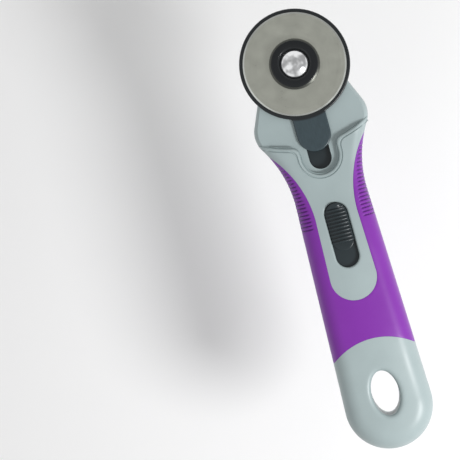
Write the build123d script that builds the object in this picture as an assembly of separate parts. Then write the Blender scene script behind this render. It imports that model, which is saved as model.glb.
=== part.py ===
from build123d import *
import math
import os

# Rotary cutter lying on its back. All sizes are millimetres.
# X runs across the handle, +Y points to the blade end, +Z points out of the blade's face.
# A station is a distance from the blade's axis along the handle, growing towards the tail.

# Overall sizes
handle_reach = 173.3       # blade axis to the end of the tail
blade_d = 45.0
guard_margin = 1.6         # guard disc beyond the blade's edge, all round
slide_travel = 7.0         # how far the guard is pulled back

# Heights, from the surface that the cutter lies on
head_rear_z = 8.6
parting_z = 11.6
pad_z = 16.5               # flat seat of the guard on the head
neck_top_z = 19.4
grip_top_z = 21.4
tail_drop = 2.2            # crown of the tail below the crown of the grip
tail_lift = 1.2            # back of the tail above the belly

# Handle outline, half widths and stations
head_r = 16.5
flare_r = 18.0
shoulder_half = 25.3
shoulder_station = 26.4
shoulder_r = 11.0
waist_half = 16.1
waist_station = 58.8
tail_r = 19.25
front_corner_r = (5.5, 8.5)     # neck, then grip
rear_corner_r = (2.3, 8.5)
flat_crown_r = 400.0
front_crown_r = 80.0
rear_crown_r = 60.0
section_count = 31

# Walls and clearances
wall = 3.4                 # outside of the grip skin to the inside of the shell
skin_t = 1.5
slide_gap = 0.1
turn_gap = 0.05
fit_gap = 0.3

# Blade, guard and clamping stack
blade_t = 0.3
bevel_w = 0.65
blade_bore_r = 4.0
guard_t = 1.5
tongue_half = 7.4
tongue_l = 14.8            # beyond the guard disc
slot_half = 4.9
neck_half = 4.4
neck_l = 9.9
washer_h = 3.2
washer_r = (11.2, 10.1)    # foot, then top
head_sink = 1.9            # bolt head below the washer's top
bolt_head_r = 6.3
bolt_head_h = 3.0
bolt_head_rim = 0.7
bolt_square = 5.5
thread_r = 2.44
nut_r = 10.2
nut_h = 7.0
nut_floor = 1.2
nut_flutes = 14
flute_r = 1.3
insert_flats = 8.6
flat_washer_r = 8.5
flat_washer_t = 0.7
spring_washer_r = 7.0
spring_washer_t = 0.35

# Slide, button and what holds them
bar_half = 6.0
bar_t = 2.0
bar_tail = 20.0            # bar beyond the button's window
button_l = 21.2
button_tail = 3.8          # plain low end of the button
button_rise = 1.4          # above the panel
button_tail_sink = 1.9     # low end below the panel
flange_half = 6.5
flange_sink = 2.2          # flange below the panel
panel_wall = 2.0           # shell over the flange
rib_pitch = 1.55
rib_count = 10
rib_groove_r = 0.45
window_half = 5.1
spring_t = 0.3
spring_half = 2.5
spring_l = 11.0
spring_rise = 2.0
detent_bite = 0.7          # how far the shell's rib reaches below the spring's nose
detent_rib_w = 1.2
retainer_half = 13.0
retainer_l = 6.0
retainer_t = 1.5
retainer_screw_x = 10.2

# Screws
screw_r = 1.3
screw_head_r = 2.5
screw_head_h = 1.5
screw_grip = 4.6           # rear shell under the screw's head
boss_wall = 1.7
tail_screw_offset = 6.4    # rear screw to the wall round the hanging hole
retainer_screw_r = 1.0
retainer_head_r = 1.9

# Coloured grip areas
panel_waist = 9.3
panel_side_r = 48.0
panel_station = 68.0
panel_end_half = 10.2
panel_front_end = 95.5
panel_rear_end = 78.0
grip_start = 30.0
grip_end_r = 27.9
grip_end_inset = 22.1

# Hanging hole
hole_half = (6.0, 10.0)
hole_inset = 25.3          # hole centre to the end of the tail
hole_wall = 2.4
hole_flare = 1.6

# Places that follow from the sizes above
guard_r = blade_d / 2 + guard_margin
blade_y = (handle_reach - guard_r) / 2
tail_station = handle_reach - tail_r
tongue_tip = guard_r + tongue_l
pocket_half = tongue_half + 0.8
pocket_end = tongue_tip + slide_travel + 3.3
slot_end = tongue_tip + slide_travel + 1.0
neck_end = tongue_tip - 0.5
slot_start = neck_end - neck_l - 1.0
step_r = 50.5
step_apex = guard_r + slide_travel + 5.0
window_start = pocket_end + 13.1
window_end = window_start + button_l + slide_travel + 2 * fit_gap
cavity_start = pocket_end + 2.8
hole_station = handle_reach - hole_inset
grip_end_station = handle_reach - grip_end_inset
guard_z = pad_z + slide_gap
blade_z = guard_z + guard_t + slide_gap
washer_z = blade_z + blade_t + slide_gap
washer_top = washer_z + washer_h
shoulder_pin_r = blade_bore_r - turn_gap
bolt_seat_z = washer_top - head_sink
nut_top = nut_h
flat_washer_z = nut_top + turn_gap
spring_washer_z = flat_washer_z + flat_washer_t
bar_z = parting_z + fit_gap
bar_top = bar_z + bar_t
channel_top = bar_top + slide_gap
bar_end = window_end + bar_tail
button_start = window_start + fit_gap
retainer_station = window_end + 8.0
retainer_screws_at = [(-retainer_screw_x, retainer_station), (retainer_screw_x, retainer_station)]
retainer_screw_tip = parting_z + 5.0
shoulder_screw = (17.5, 23.5)
shell_screws_at = [(-shoulder_screw[0], shoulder_screw[1]), shoulder_screw,
                   (0.0, hole_station - hole_half[1] - hole_wall - tail_screw_offset)]
shell_screw_tip = pad_z - 1.4
flange_start = window_start - slide_travel - 1.2
flange_end = window_end + 6.0
spring_start = flange_end + 1.0
spring_nose = spring_start + 0.72 * spring_l
nose_z = bar_top + spring_rise
detent_station = spring_nose + slide_travel / 2


def y_at(station):
    return blade_y - station


def ease(station, start, end, before, after):
    """Smooth change from one value to another between two stations."""
    t = min(1.0, max(0.0, (station - start) / (end - start)))
    return before + (after - before) * t * t * (3 - 2 * t)


# ---------------------------------------------------------------- handle outline

def lean_of_tangent(a, b, reach):
    """Lean, from the handle's axis, of the line that touches circles about a and b."""
    dx, ds = b[0] - a[0], b[1] - a[1]
    return math.acos(reach / math.hypot(dx, ds)) - math.atan2(ds, dx)


flare_c = (head_r + flare_r, 0.0)
shoulder_c = (shoulder_half - shoulder_r, shoulder_station)
waist_lean = waist_half - shoulder_c[0]
waist_run = waist_station - shoulder_station
waist_r = (waist_lean ** 2 + waist_run ** 2 - shoulder_r ** 2) / (2 * (shoulder_r - waist_lean))
waist_c = (waist_half + waist_r, waist_station)
tail_c = (0.0, tail_station)
flank_lean = lean_of_tangent(flare_c, shoulder_c, -(flare_r + shoulder_r))
neck_lean = -math.asin(waist_run / (waist_r + shoulder_r))
grip_lean = lean_of_tangent(waist_c, tail_c, -(waist_r + tail_r))
flank_start = flare_c[1] + flare_r * math.sin(flank_lean)
flank_stop = shoulder_c[1] - shoulder_r * math.sin(flank_lean)
neck_start = shoulder_c[1] - shoulder_r * math.sin(neck_lean)
grip_line_start = waist_c[1] + waist_r * math.sin(grip_lean)
grip_line_stop = tail_c[1] - tail_r * math.sin(grip_lean)


def half_width(station):
    """Half width of the handle: arcs at flare, shoulder, waist and tail, joined by tangents."""
    if station <= flank_start:
        return flare_c[0] - math.sqrt(flare_r ** 2 - station ** 2)
    if station <= flank_stop:
        start = flare_c[0] - flare_r * math.cos(flank_lean)
        return start + (station - flank_start) * math.tan(flank_lean)
    if station <= neck_start:
        return shoulder_c[0] + math.sqrt(shoulder_r ** 2 - (station - shoulder_c[1]) ** 2)
    if station <= grip_line_start:
        return waist_c[0] - math.sqrt(waist_r ** 2 - (station - waist_c[1]) ** 2)
    if station <= grip_line_stop:
        start = waist_c[0] - waist_r * math.cos(grip_lean)
        return start + (station - grip_line_start) * math.tan(grip_lean)
    return math.sqrt(max(0.0, tail_r ** 2 - (station - tail_c[1]) ** 2))


def front_crown(station):
    rise = ease(station, 50, 86, neck_top_z, grip_top_z)
    return rise - ease(station, tail_station - 34, tail_station, 0, tail_drop)


def rear_crown(station):
    fall = ease(station, 30, 90, head_rear_z, 0)
    return fall + ease(station, tail_station - 26, tail_station, 0, tail_lift)


def crown_radius(station, grip_crown_r):
    return 1 / ease(station, 42, 84, 1 / flat_crown_r, 1 / grip_crown_r)


def section(station, inset, front):
    """Key points of one half of the handle's cross-section, inset from its outside."""
    side = 1 if front else -1
    corners = front_corner_r if front else rear_corner_r
    crown_r = crown_radius(station, front_crown_r if front else rear_crown_r) - inset
    top = (front_crown(station) if front else rear_crown(station)) - side * inset
    corner_r = max(0.6, ease(station, 34, 85, *corners) - inset)
    half = half_width(station) - inset
    corner_x = half - corner_r
    lean = math.asin(corner_x / (crown_r - corner_r))
    corner_z = top - side * (crown_r - (crown_r - corner_r) * math.cos(lean))
    edge = (crown_r * math.sin(lean), top - side * crown_r * (1 - math.cos(lean)))
    mid = (lean + math.pi / 2) / 2
    bend = (corner_x + corner_r * math.sin(mid), corner_z + side * corner_r * math.cos(mid))
    mid_crown = (crown_r * math.sin(lean / 2), top - side * crown_r * (1 - math.cos(lean / 2)))
    return half, top, corner_z, bend, edge, mid_crown


def section_wire(station, inset, front, base_z):
    y = y_at(station)
    half, top, corner_z, bend, edge, mid_crown = section(station, inset, front)
    return Wire([
        Edge.make_line((-half, y, base_z), (half, y, base_z)),
        Edge.make_line((half, y, base_z), (half, y, corner_z)),
        Edge.make_three_point_arc((half, y, corner_z), (bend[0], y, bend[1]), (edge[0], y, edge[1])),
        Edge.make_three_point_arc((edge[0], y, edge[1]), (0, y, top), (-edge[0], y, edge[1])),
        Edge.make_three_point_arc((-edge[0], y, edge[1]), (-bend[0], y, bend[1]), (-half, y, corner_z)),
        Edge.make_line((-half, y, corner_z), (-half, y, base_z)),
    ])


def half_section_face(station, inset, front, base_z):
    y = y_at(station)
    half, top, corner_z, bend, edge, mid_crown = section(station, inset, front)
    return Face(Wire([
        Edge.make_line((0, y, base_z), (half, y, base_z)),
        Edge.make_line((half, y, base_z), (half, y, corner_z)),
        Edge.make_three_point_arc((half, y, corner_z), (bend[0], y, bend[1]), (edge[0], y, edge[1])),
        Edge.make_three_point_arc((edge[0], y, edge[1]), (mid_crown[0], y, mid_crown[1]), (0, y, top)),
        Edge.make_line((0, y, top), (0, y, base_z)),
    ]))


def stations(start, end, count):
    return [start + (end - start) * i / (count - 1) for i in range(count)]


def handle_half(inset, front, start=0.0, overlap=0.0):
    """Front or rear half of the handle, inset from its outside, from a station to the tail."""
    base_z = parting_z - overlap if front else parting_z + overlap
    count = max(6, round(section_count * (tail_station - start) / tail_station))
    wires = [section_wire(s, inset, front, base_z) for s in stations(start, tail_station, count)]
    body = Solid.make_loft(wires)
    tail = revolve(half_section_face(tail_station, inset, front, base_z),
                   Axis((0, y_at(tail_station), 0), (0, 0, -1)), 180)
    if start > 0:
        return body + tail
    head = revolve(half_section_face(0, inset, front, base_z), Axis((0, y_at(0), 0), (0, 0, 1)), 180)
    return body + tail + head


# ---------------------------------------------------------------- plan shapes

def prism(face, low, high):
    return extrude(Pos(0, 0, low) * face, high - low, dir=(0, 0, 1))


def disc(x, station, radius, low, high):
    return Pos(x, y_at(station), (low + high) / 2) * Cylinder(radius, high - low)


def block(half, start, end, low, high):
    middle = y_at((start + end) / 2)
    return Pos(0, middle, (low + high) / 2) * Box(2 * half, end - start, high - low)


def crown_block(half, start, end, low, above):
    """Block whose top follows the front crown at a set height above it."""
    marks = stations(start, end, max(3, round((end - start) / 4)))
    top = [(y_at(s), front_crown(s) + above) for s in marks]
    outline = Polyline(*top, (y_at(end), low), (y_at(start), low), close=True)
    return extrude(Plane.YZ * make_face(outline), half, both=True)


def oblong(half, start, end, low, high):
    """Round-ended slot shape along the handle."""
    face = Pos(0, y_at((start + end) / 2)) * SlotOverall(end - start, 2 * half, rotation=90)
    return prism(face, low, high)


def panel_face(end):
    """Plain panel inside the grip: flaring sides above, a round end below."""
    centre_x = panel_waist + panel_side_r
    rise = panel_station - grip_start
    top_x = centre_x - math.sqrt(panel_side_r ** 2 - rise ** 2)
    mid = math.asin(rise / panel_side_r) / 2
    mid_x = centre_x - panel_side_r * math.cos(mid)
    mid_y = y_at(panel_station - panel_side_r * math.sin(mid))
    top_y, waist_y, end_y = y_at(grip_start), y_at(panel_station), y_at(end)
    return Face(Wire([
        Edge.make_line((-top_x, top_y, 0), (top_x, top_y, 0)),
        Edge.make_three_point_arc((top_x, top_y, 0), (mid_x, mid_y, 0), (panel_waist, waist_y, 0)),
        Edge.make_line((panel_waist, waist_y, 0), (panel_end_half, end_y, 0)),
        Edge.make_three_point_arc((panel_end_half, end_y, 0), (0, end_y - panel_end_half, 0),
                                  (-panel_end_half, end_y, 0)),
        Edge.make_line((-panel_end_half, end_y, 0), (-panel_waist, waist_y, 0)),
        Edge.make_three_point_arc((-panel_waist, waist_y, 0), (-mid_x, mid_y, 0), (-top_x, top_y, 0)),
    ]))


def grip_region(panel_end):
    """Everything of the handle that the coloured grip covers, seen from above."""
    span = block(2 * shoulder_half, grip_start, grip_end_station, -5, grip_top_z + 5)
    end = disc(0, grip_end_station, grip_end_r, -6, grip_top_z + 6)
    return span - end - prism(panel_face(panel_end), -6, grip_top_z + 6)


def head_pocket():
    """Space above the head's flat seat, with the long bay that the guard's tongue slides in."""
    seat = disc(0, step_apex - step_r, step_r, pad_z, grip_top_z)
    sides = Pos(0, y_at(0), (pad_z + grip_top_z) / 2) * Box(3 * step_r, 6 * step_r, grip_top_z - pad_z)
    bay = oblong(pocket_half, 0, pocket_end, pad_z, grip_top_z)
    return (seat & sides) + bay


def hanging_hole(grow):
    return Pos(0, y_at(hole_station)) * Ellipse(hole_half[0] + grow, hole_half[1] + grow)


def hole_cutter():
    """Straight hole that flares where it meets the front and the back."""
    low, high = rear_crown(hole_station), front_crown(hole_station)
    straight = prism(hanging_hole(0), low - 5, high + 5)
    wide = [Pos(0, 0, z) * hanging_hole(hole_flare) for z in (low - 0.2, high + 0.2)]
    tight = [Pos(0, 0, z) * hanging_hole(0) for z in (low + hole_flare, high - hole_flare)]
    return straight + loft([wide[0], tight[0]]) + loft([tight[1], wide[1]])


# ---------------------------------------------------------------- screws

def screw(x, station, radius, head_radius, seat_z, tip_z):
    """Pan-head screw driven upwards from the back, with a crossed recess in its head."""
    shank = disc(x, station, radius, seat_z, tip_z)
    head = disc(x, station, head_radius, seat_z - screw_head_h, seat_z)
    recess = Box(2 * head_radius * 0.6, 0.6, 1.4) + Box(0.6, 2 * head_radius * 0.6, 1.4)
    return shank + head - Pos(x, y_at(station), seat_z - screw_head_h) * recess


def shell_screw_seat(station):
    """Height of the screw head's seat, a step inside the rear shell."""
    return max(rear_crown(station) + screw_head_h + 0.2, parting_z - screw_grip)


def bolt_square_hole():
    side = bolt_square + 2 * turn_gap
    return Pos(0, y_at(0), parting_z) * Box(side, side, 4 * parting_z)


# ---------------------------------------------------------------- shells and grips

front_outside = handle_half(0, True)
rear_outside = handle_half(0, False)
hole_tube = prism(hanging_hole(hole_wall), -5, grip_top_z + 5)


def bosses_in(hollow, places, radius, low, high):
    """Leave a round boss standing in a hollow at each screw that lies inside it."""
    for x, station in places:
        if station > cavity_start:
            hollow -= disc(x, station, radius, low, high)
    return hollow


def skin_space(front, panel_end):
    """Room that the coloured grip fills: its region in plan, less the shell beneath it."""
    return grip_region(panel_end) - handle_half(skin_t, front, overlap=1.0)


def make_front():
    """Front shell and the grip moulded over it."""
    skin = skin_space(True, panel_front_end)
    grip = front_outside & skin
    hollow = handle_half(wall, True, cavity_start, overlap=1.0) - hole_tube
    hollow = bosses_in(hollow, shell_screws_at, screw_r + boss_wall, parting_z - 2, grip_top_z)
    hollow = bosses_in(hollow, retainer_screws_at, retainer_screw_r + boss_wall, parting_z - 2, grip_top_z)
    rib = (detent_station - detent_rib_w / 2, detent_station + detent_rib_w / 2)
    hollow -= block(spring_half + 1, *rib, nose_z - detent_bite, grip_top_z)
    shell = front_outside - skin
    shell -= hollow
    shell -= crown_block(flange_half + fit_gap, flange_start - 1, flange_end + slide_travel + 1, bar_top,
                         -panel_wall)
    shell -= head_pocket()
    shell -= block(bar_half + slide_gap, slot_start - 3, cavity_start + 1, parting_z - 1, channel_top)
    shell -= oblong(slot_half, slot_start, slot_end, parting_z, pad_z + 1)
    shell -= oblong(window_half, window_start, window_end, parting_z, grip_top_z + 1)
    shell -= bolt_square_hole()
    for x, station in shell_screws_at:
        shell -= disc(x, station, screw_r, parting_z - 1, shell_screw_tip)
    for x, station in retainer_screws_at:
        shell -= disc(x, station, retainer_screw_r, parting_z - 1, retainer_screw_tip)
    return shell - hole_cutter(), grip


def make_rear():
    """Rear shell and the grip moulded over it, with deep seats for the screws that join the halves."""
    skin = skin_space(False, panel_rear_end)
    grip = rear_outside & skin
    hollow = handle_half(wall, False, cavity_start, overlap=1.0) - hole_tube
    seat_r = screw_head_r + fit_gap
    hollow = bosses_in(hollow, shell_screws_at, seat_r + boss_wall, -1, parting_z + 2)
    shell = rear_outside - skin
    shell -= hollow
    shell -= bolt_square_hole()
    for x, station in shell_screws_at:
        seat = shell_screw_seat(station)
        access = disc(x, station, seat_r, -5, seat)
        shell -= disc(x, station, screw_r, seat - 1, parting_z + 1)
        shell -= access
        grip -= access
    return shell - hole_cutter(), grip


# ---------------------------------------------------------------- blade end

def make_blade():
    r, half_t = blade_d / 2, blade_t / 2
    profile = Polyline((blade_bore_r, -half_t), (r - bevel_w, -half_t), (r, 0), (r - bevel_w, half_t),
                       (blade_bore_r, half_t), close=True)
    body = revolve(make_face(Plane.XZ * profile), Axis.Z)
    return Pos(0, y_at(0), blade_z + half_t) * body


def make_guard():
    """Disc behind the blade, slotted for the bolt, with the tongue and the neck that enters the head."""
    plate = disc(0, 0, guard_r, guard_z, guard_z + guard_t)
    plate += oblong(tongue_half, 0, tongue_tip, guard_z, guard_z + guard_t)
    plate = chamfer(plate.faces().sort_by(Axis.Z)[-1].outer_wire().edges(), 0.35)
    bolt_slot_r = shoulder_pin_r + slide_gap
    plate -= oblong(bolt_slot_r, -bolt_slot_r - slide_travel, bolt_slot_r, guard_z - 1, guard_z + guard_t + 1)
    neck = oblong(neck_half, neck_end - neck_l, neck_end, bar_top, guard_z)
    pegs = [disc(0, neck_end - neck_l / 2 + d, 1.2, bar_z, bar_top) for d in (-2.4, 2.4)]
    return plate + neck + pegs[0] + pegs[1]


def make_washer():
    cone = Pos(0, y_at(0), washer_z + washer_h / 2) * Cone(washer_r[0], washer_r[1], washer_h)
    cone -= disc(0, 0, shoulder_pin_r, washer_z - 1, washer_top + 1)
    seat_r = bolt_head_r + 0.25
    cone -= disc(0, 0, seat_r, bolt_seat_z, washer_top + 1)
    mouth = Pos(0, y_at(0), washer_top - 0.35) * Cone(seat_r, seat_r + 0.9, 0.9)
    return cone - mouth


def make_bolt():
    rim_z = bolt_seat_z + bolt_head_rim
    dome_h = bolt_head_h - bolt_head_rim
    dome_r = (bolt_head_r ** 2 + dome_h ** 2) / (2 * dome_h)
    ball = Pos(0, y_at(0), rim_z + dome_h - dome_r) * Sphere(dome_r)
    head = disc(0, 0, bolt_head_r, bolt_seat_z, rim_z + dome_h) & (ball + disc(0, 0, dome_r, 0, rim_z))
    pin = disc(0, 0, shoulder_pin_r, pad_z, bolt_seat_z)
    square_low = head_rear_z + 0.4
    square = block(bolt_square / 2, -bolt_square / 2, bolt_square / 2, square_low, pad_z)
    thread = disc(0, 0, thread_r, nut_floor + 0.4, square_low)
    return head + pin + square + thread


def make_nut():
    body = disc(0, 0, nut_r, 0, nut_h)
    body = chamfer(body.edges().filter_by(GeomType.CIRCLE), 0.6)
    for i in range(nut_flutes):
        turn = Pos(0, y_at(0), 0) * Rot(0, 0, 360 * i / nut_flutes)
        body -= turn * Pos(nut_r + flute_r * 0.45, 0, nut_h / 2) * Cylinder(flute_r, nut_h + 1)
    return body - prism(insert_face(), nut_floor, nut_h + 1)


def insert_face():
    return Pos(0, y_at(0)) * RegularPolygon(insert_flats / 2, 6, major_radius=False)


def make_insert():
    return prism(insert_face(), nut_floor, nut_h) - disc(0, 0, thread_r + 0.06, nut_floor - 1, nut_h + 1)


def make_flat_washer():
    ring = disc(0, 0, flat_washer_r, flat_washer_z, flat_washer_z + flat_washer_t)
    return ring - disc(0, 0, thread_r + 0.1, flat_washer_z - 1, flat_washer_z + 2)


def make_spring_washer():
    """Washer bent into a shallow trough: its middle bears below, its two ends above."""
    high = head_rear_z - turn_gap
    rise = high - spring_washer_z - spring_washer_t
    bend_r = spring_washer_r ** 2 / (2 * rise) + rise / 2
    axis_z = spring_washer_z + bend_r + spring_washer_t
    trough = Pos(0, y_at(0), axis_z) * Rot(90, 0, 0) * (
        Cylinder(bend_r + spring_washer_t, 4 * spring_washer_r) - Cylinder(bend_r, 5 * spring_washer_r))
    ring = disc(0, 0, spring_washer_r, spring_washer_z, high) - disc(0, 0, thread_r + 0.4, 0, parting_z)
    return trough & ring


# ---------------------------------------------------------------- slide

def make_slide_bar():
    start = neck_end - neck_l - 0.6
    bar = block(bar_half, start, bar_end, bar_z, bar_top)
    bar = fillet(bar.edges().filter_by(Axis.Z), 2.0)
    for d in (-2.4, 2.4):
        bar -= disc(0, neck_end - neck_l / 2 + d, 1.2, bar_z - 1, bar_top + 1)
    return bar


def make_button():
    """Ribbed thumb piece standing in the window, with a low plain end and a hidden flange."""
    half = window_half - 0.2
    button_end = button_start + button_l
    ribbed_end = button_end - button_tail
    deck = front_crown(ribbed_end) - button_tail_sink
    stem = oblong(half, button_start, button_end, bar_top, deck)
    pad = oblong(half, button_start, button_end, deck, grip_top_z + 2 * button_rise)
    pad &= crown_block(half, button_start, ribbed_end, deck - 1, button_rise)
    first = button_start + 3.2
    for i in range(rib_count):
        station = first + i * rib_pitch
        at = Pos(0, y_at(station), front_crown(station) + button_rise + 0.1)
        pad -= at * Rot(0, 90, 0) * Cylinder(rib_groove_r, 4 * half)
    flange = crown_block(flange_half, flange_start, flange_end, bar_top, -flange_sink)
    return stem + pad + flange


def make_detent_spring():
    """Leaf spring lying on the bar, bowed up to a nose that clicks past the shell's rib."""
    half_t = spring_t / 2
    low, high = bar_top + half_t, nose_z - half_t
    foot_end = spring_start + 0.3 * spring_l
    line = Polyline((y_at(spring_start), low), (y_at(foot_end), low), (y_at(spring_nose - 0.6), high),
                    (y_at(spring_nose + 0.6), high), (y_at(spring_start + spring_l), low + 0.4))
    return extrude(Plane.YZ * trace(line, spring_t), spring_half, both=True)


def make_retainer():
    half_l = retainer_l / 2
    plate = block(retainer_half - 0.6, retainer_station - half_l, retainer_station + half_l,
                  parting_z - retainer_t, parting_z)
    plate = fillet(plate.edges().filter_by(Axis.Z), 1.5)
    for x, station in retainer_screws_at:
        plate -= disc(x, station, retainer_screw_r, 0, parting_z + 1)
    return plate


def make_parts():
    front_shell, front_grip = make_front()
    rear_shell, rear_grip = make_rear()
    shell_screws = [screw(x, station, screw_r, screw_head_r, shell_screw_seat(station), shell_screw_tip)
                    for x, station in shell_screws_at]
    retainer_seat = parting_z - retainer_t
    retainer_screws = [screw(x, station, retainer_screw_r, retainer_head_r, retainer_seat, retainer_screw_tip)
                       for x, station in retainer_screws_at]
    return {
        "front_shell": front_shell,
        "rear_shell": rear_shell,
        "front_grip": front_grip,
        "rear_grip": rear_grip,
        "shell_screws": Compound(children=shell_screws),
        "blade_bolt": make_bolt(),
        "blade_washer": make_washer(),
        "blade": make_blade(),
        "blade_guard": make_guard(),
        "slide_bar": make_slide_bar(),
        "thumb_button": make_button(),
        "detent_spring": make_detent_spring(),
        "slide_retainer": make_retainer(),
        "retainer_screws": Compound(children=retainer_screws),
        "spring_washer": make_spring_washer(),
        "flat_washer": make_flat_washer(),
        "clamp_nut": make_nut(),
        "nut_insert": make_insert(),
    }


os.makedirs("parts", exist_ok=True)
for node, shape in make_parts().items():
    export_step(shape, f"parts/{node}.step")
    print(node, round(shape.volume, 1))
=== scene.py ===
"""Rotary cutter: the finished model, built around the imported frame.

Sizes in the classes are millimetres, unless a comment says otherwise. The cutter lies on its back: X runs
across the handle, +Y points to the blade and +Z out of the blade's face. A station is a distance from the
blade's axis along the handle, towards the tail.
"""
from __future__ import annotations

import enum
import functools
import logging
import math
from dataclasses import dataclass, field
from typing import Callable, ClassVar, Iterable, NamedTuple, Sequence

import bmesh
import bpy
import numpy as np
from mathutils import Matrix, Vector
from mathutils.geometry import delaunay_2d_cdt
from mathutils.kdtree import KDTree


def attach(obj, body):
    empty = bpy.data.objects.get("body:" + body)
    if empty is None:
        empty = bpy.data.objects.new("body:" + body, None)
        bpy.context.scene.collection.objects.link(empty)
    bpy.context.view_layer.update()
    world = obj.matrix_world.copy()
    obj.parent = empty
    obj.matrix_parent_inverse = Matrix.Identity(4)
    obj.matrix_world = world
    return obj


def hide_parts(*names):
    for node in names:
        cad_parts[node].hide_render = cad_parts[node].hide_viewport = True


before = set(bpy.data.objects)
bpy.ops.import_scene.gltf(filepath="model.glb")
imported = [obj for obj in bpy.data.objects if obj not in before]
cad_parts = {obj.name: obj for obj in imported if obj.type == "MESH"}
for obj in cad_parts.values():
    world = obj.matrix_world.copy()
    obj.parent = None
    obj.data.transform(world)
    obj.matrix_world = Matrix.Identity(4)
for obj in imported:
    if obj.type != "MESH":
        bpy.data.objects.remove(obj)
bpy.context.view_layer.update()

MM = 0.001
BLADE_Y = 74.6
BLADE_CENTRE = (0.0, BLADE_Y * MM)
Array = np.ndarray
Field = Callable[[Array, Array], Array]
Pair = tuple[float, float]
Triple = tuple[float, float, float]
Colour = tuple[float, float, float, float]
Material, Object, Node, Socket = bpy.types.Material, bpy.types.Object, bpy.types.Node, bpy.types.NodeSocket
log = logging.getLogger("cutter")


class Side(enum.Enum):
    """The two halves of the handle."""

    FRONT = 1
    REAR = -1


class Slot(enum.Enum):
    """Material slots of the cutter."""

    HANDLE = "handle_grey"
    GRIP = "grip_purple"
    BLACK = "black_plastic"
    GUARD = "guard_plastic"
    WASHER = "washer_plastic"
    BLADE = "blade_steel"
    BOLT = "bolt_chrome"
    SCREW = "screw_steel"
    SPRING = "spring_steel"
    BRASS = "insert_brass"


Finishes = dict[Slot, Material]


def linear(*srgb: int) -> Colour:
    """Turn an 8-bit display colour into the scene's linear colour.

    Args:
        srgb: red, green and blue, 0 to 255.

    Returns:
        Linear red, green, blue and an alpha of 1.
    """
    steps = [c / 255 for c in srgb]
    return tuple(c / 12.92 if c <= 0.04045 else ((c + 0.055) / 1.055) ** 2.4 for c in steps) + (1.0,)


# ------------------------------------------------------------------ finishes


class Graph:
    """Shorthand for building a node tree."""

    def __init__(self, tree: bpy.types.NodeTree) -> None:
        """Hold the tree that nodes are added to."""
        self.tree = tree

    def add(self, kind: str, inputs: dict | None = None, **settings: object) -> Node:
        """Add a node.

        Args:
            kind: the node's type name.
            inputs: socket name or index to a value, or to another node's output socket.
            settings: attributes of the node.

        Returns:
            The new node.
        """
        node = self.tree.nodes.new(kind)
        for name, value in settings.items():
            setattr(node, name, value)
        self.put(node, inputs or {})
        return node

    def put(self, node: Node, inputs: dict) -> None:
        """Set or link a node's input sockets.

        Args:
            node: the node.
            inputs: socket name or index to a value, or to another node's output socket.
        """
        for key, value in inputs.items():
            if isinstance(value, Socket):
                self.tree.links.new(value, node.inputs[key])
            else:
                node.inputs[key].default_value = value

    def math(self, operation: str, a: object, b: object = 0.0) -> Socket:
        """Add a Math node and return its output."""
        return self.add("ShaderNodeMath", {0: a, 1: b}, operation=operation).outputs[0]

    def times(self, *values: object) -> Socket:
        """Product of several values."""
        return functools.reduce(lambda a, b: self.math("MULTIPLY", a, b), values)

    def weigh(self, a: Socket, share: float, b: Socket) -> Socket:
        """Sum of a share of one value and the rest of another."""
        return self.math("ADD", self.times(a, share), self.times(b, 1 - share))

    def mix(self, share: Socket, base: object, other: object) -> Socket:
        """Mix two colours and return the result."""
        return self.add("ShaderNodeMix", {0: share, 6: base, 7: other}, data_type="RGBA").outputs[2]

    def plan(self, place: Socket, centre: tuple[object, object]) -> tuple[Socket, ...]:
        """Place across and along, measured from an upright axis in metres."""
        parts = self.add("ShaderNodeSeparateXYZ", {0: place}).outputs
        return tuple(self.math("SUBTRACT", parts[i], centre[i]) for i in (0, 1))

    def polar(self, x: Socket, y: Socket) -> tuple[Socket, Socket]:
        """Radius and angle of a place in plan."""
        square = self.math("ADD", self.times(x, x), self.times(y, y))
        return self.math("SQRT", square), self.math("ARCTAN2", y, x)

    def remap(self, value: object, low: float, high: float, to_low: float, to_high: float,
              smooth: bool = False) -> Socket:
        """Add a clamped Map Range node and return its output.

        Args:
            value: the value or socket.
            low: its lowest value.
            high: its highest value.
            to_low: what the lowest becomes.
            to_high: what the highest becomes.
            smooth: ease in and out instead of going straight.

        Returns:
            The output socket.
        """
        kind = "SMOOTHSTEP" if smooth else "LINEAR"
        node = self.add("ShaderNodeMapRange", {0: value, 1: low, 2: high, 3: to_low, 4: to_high},
                        interpolation_type=kind, clamp=True)
        return node.outputs[0]


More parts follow.
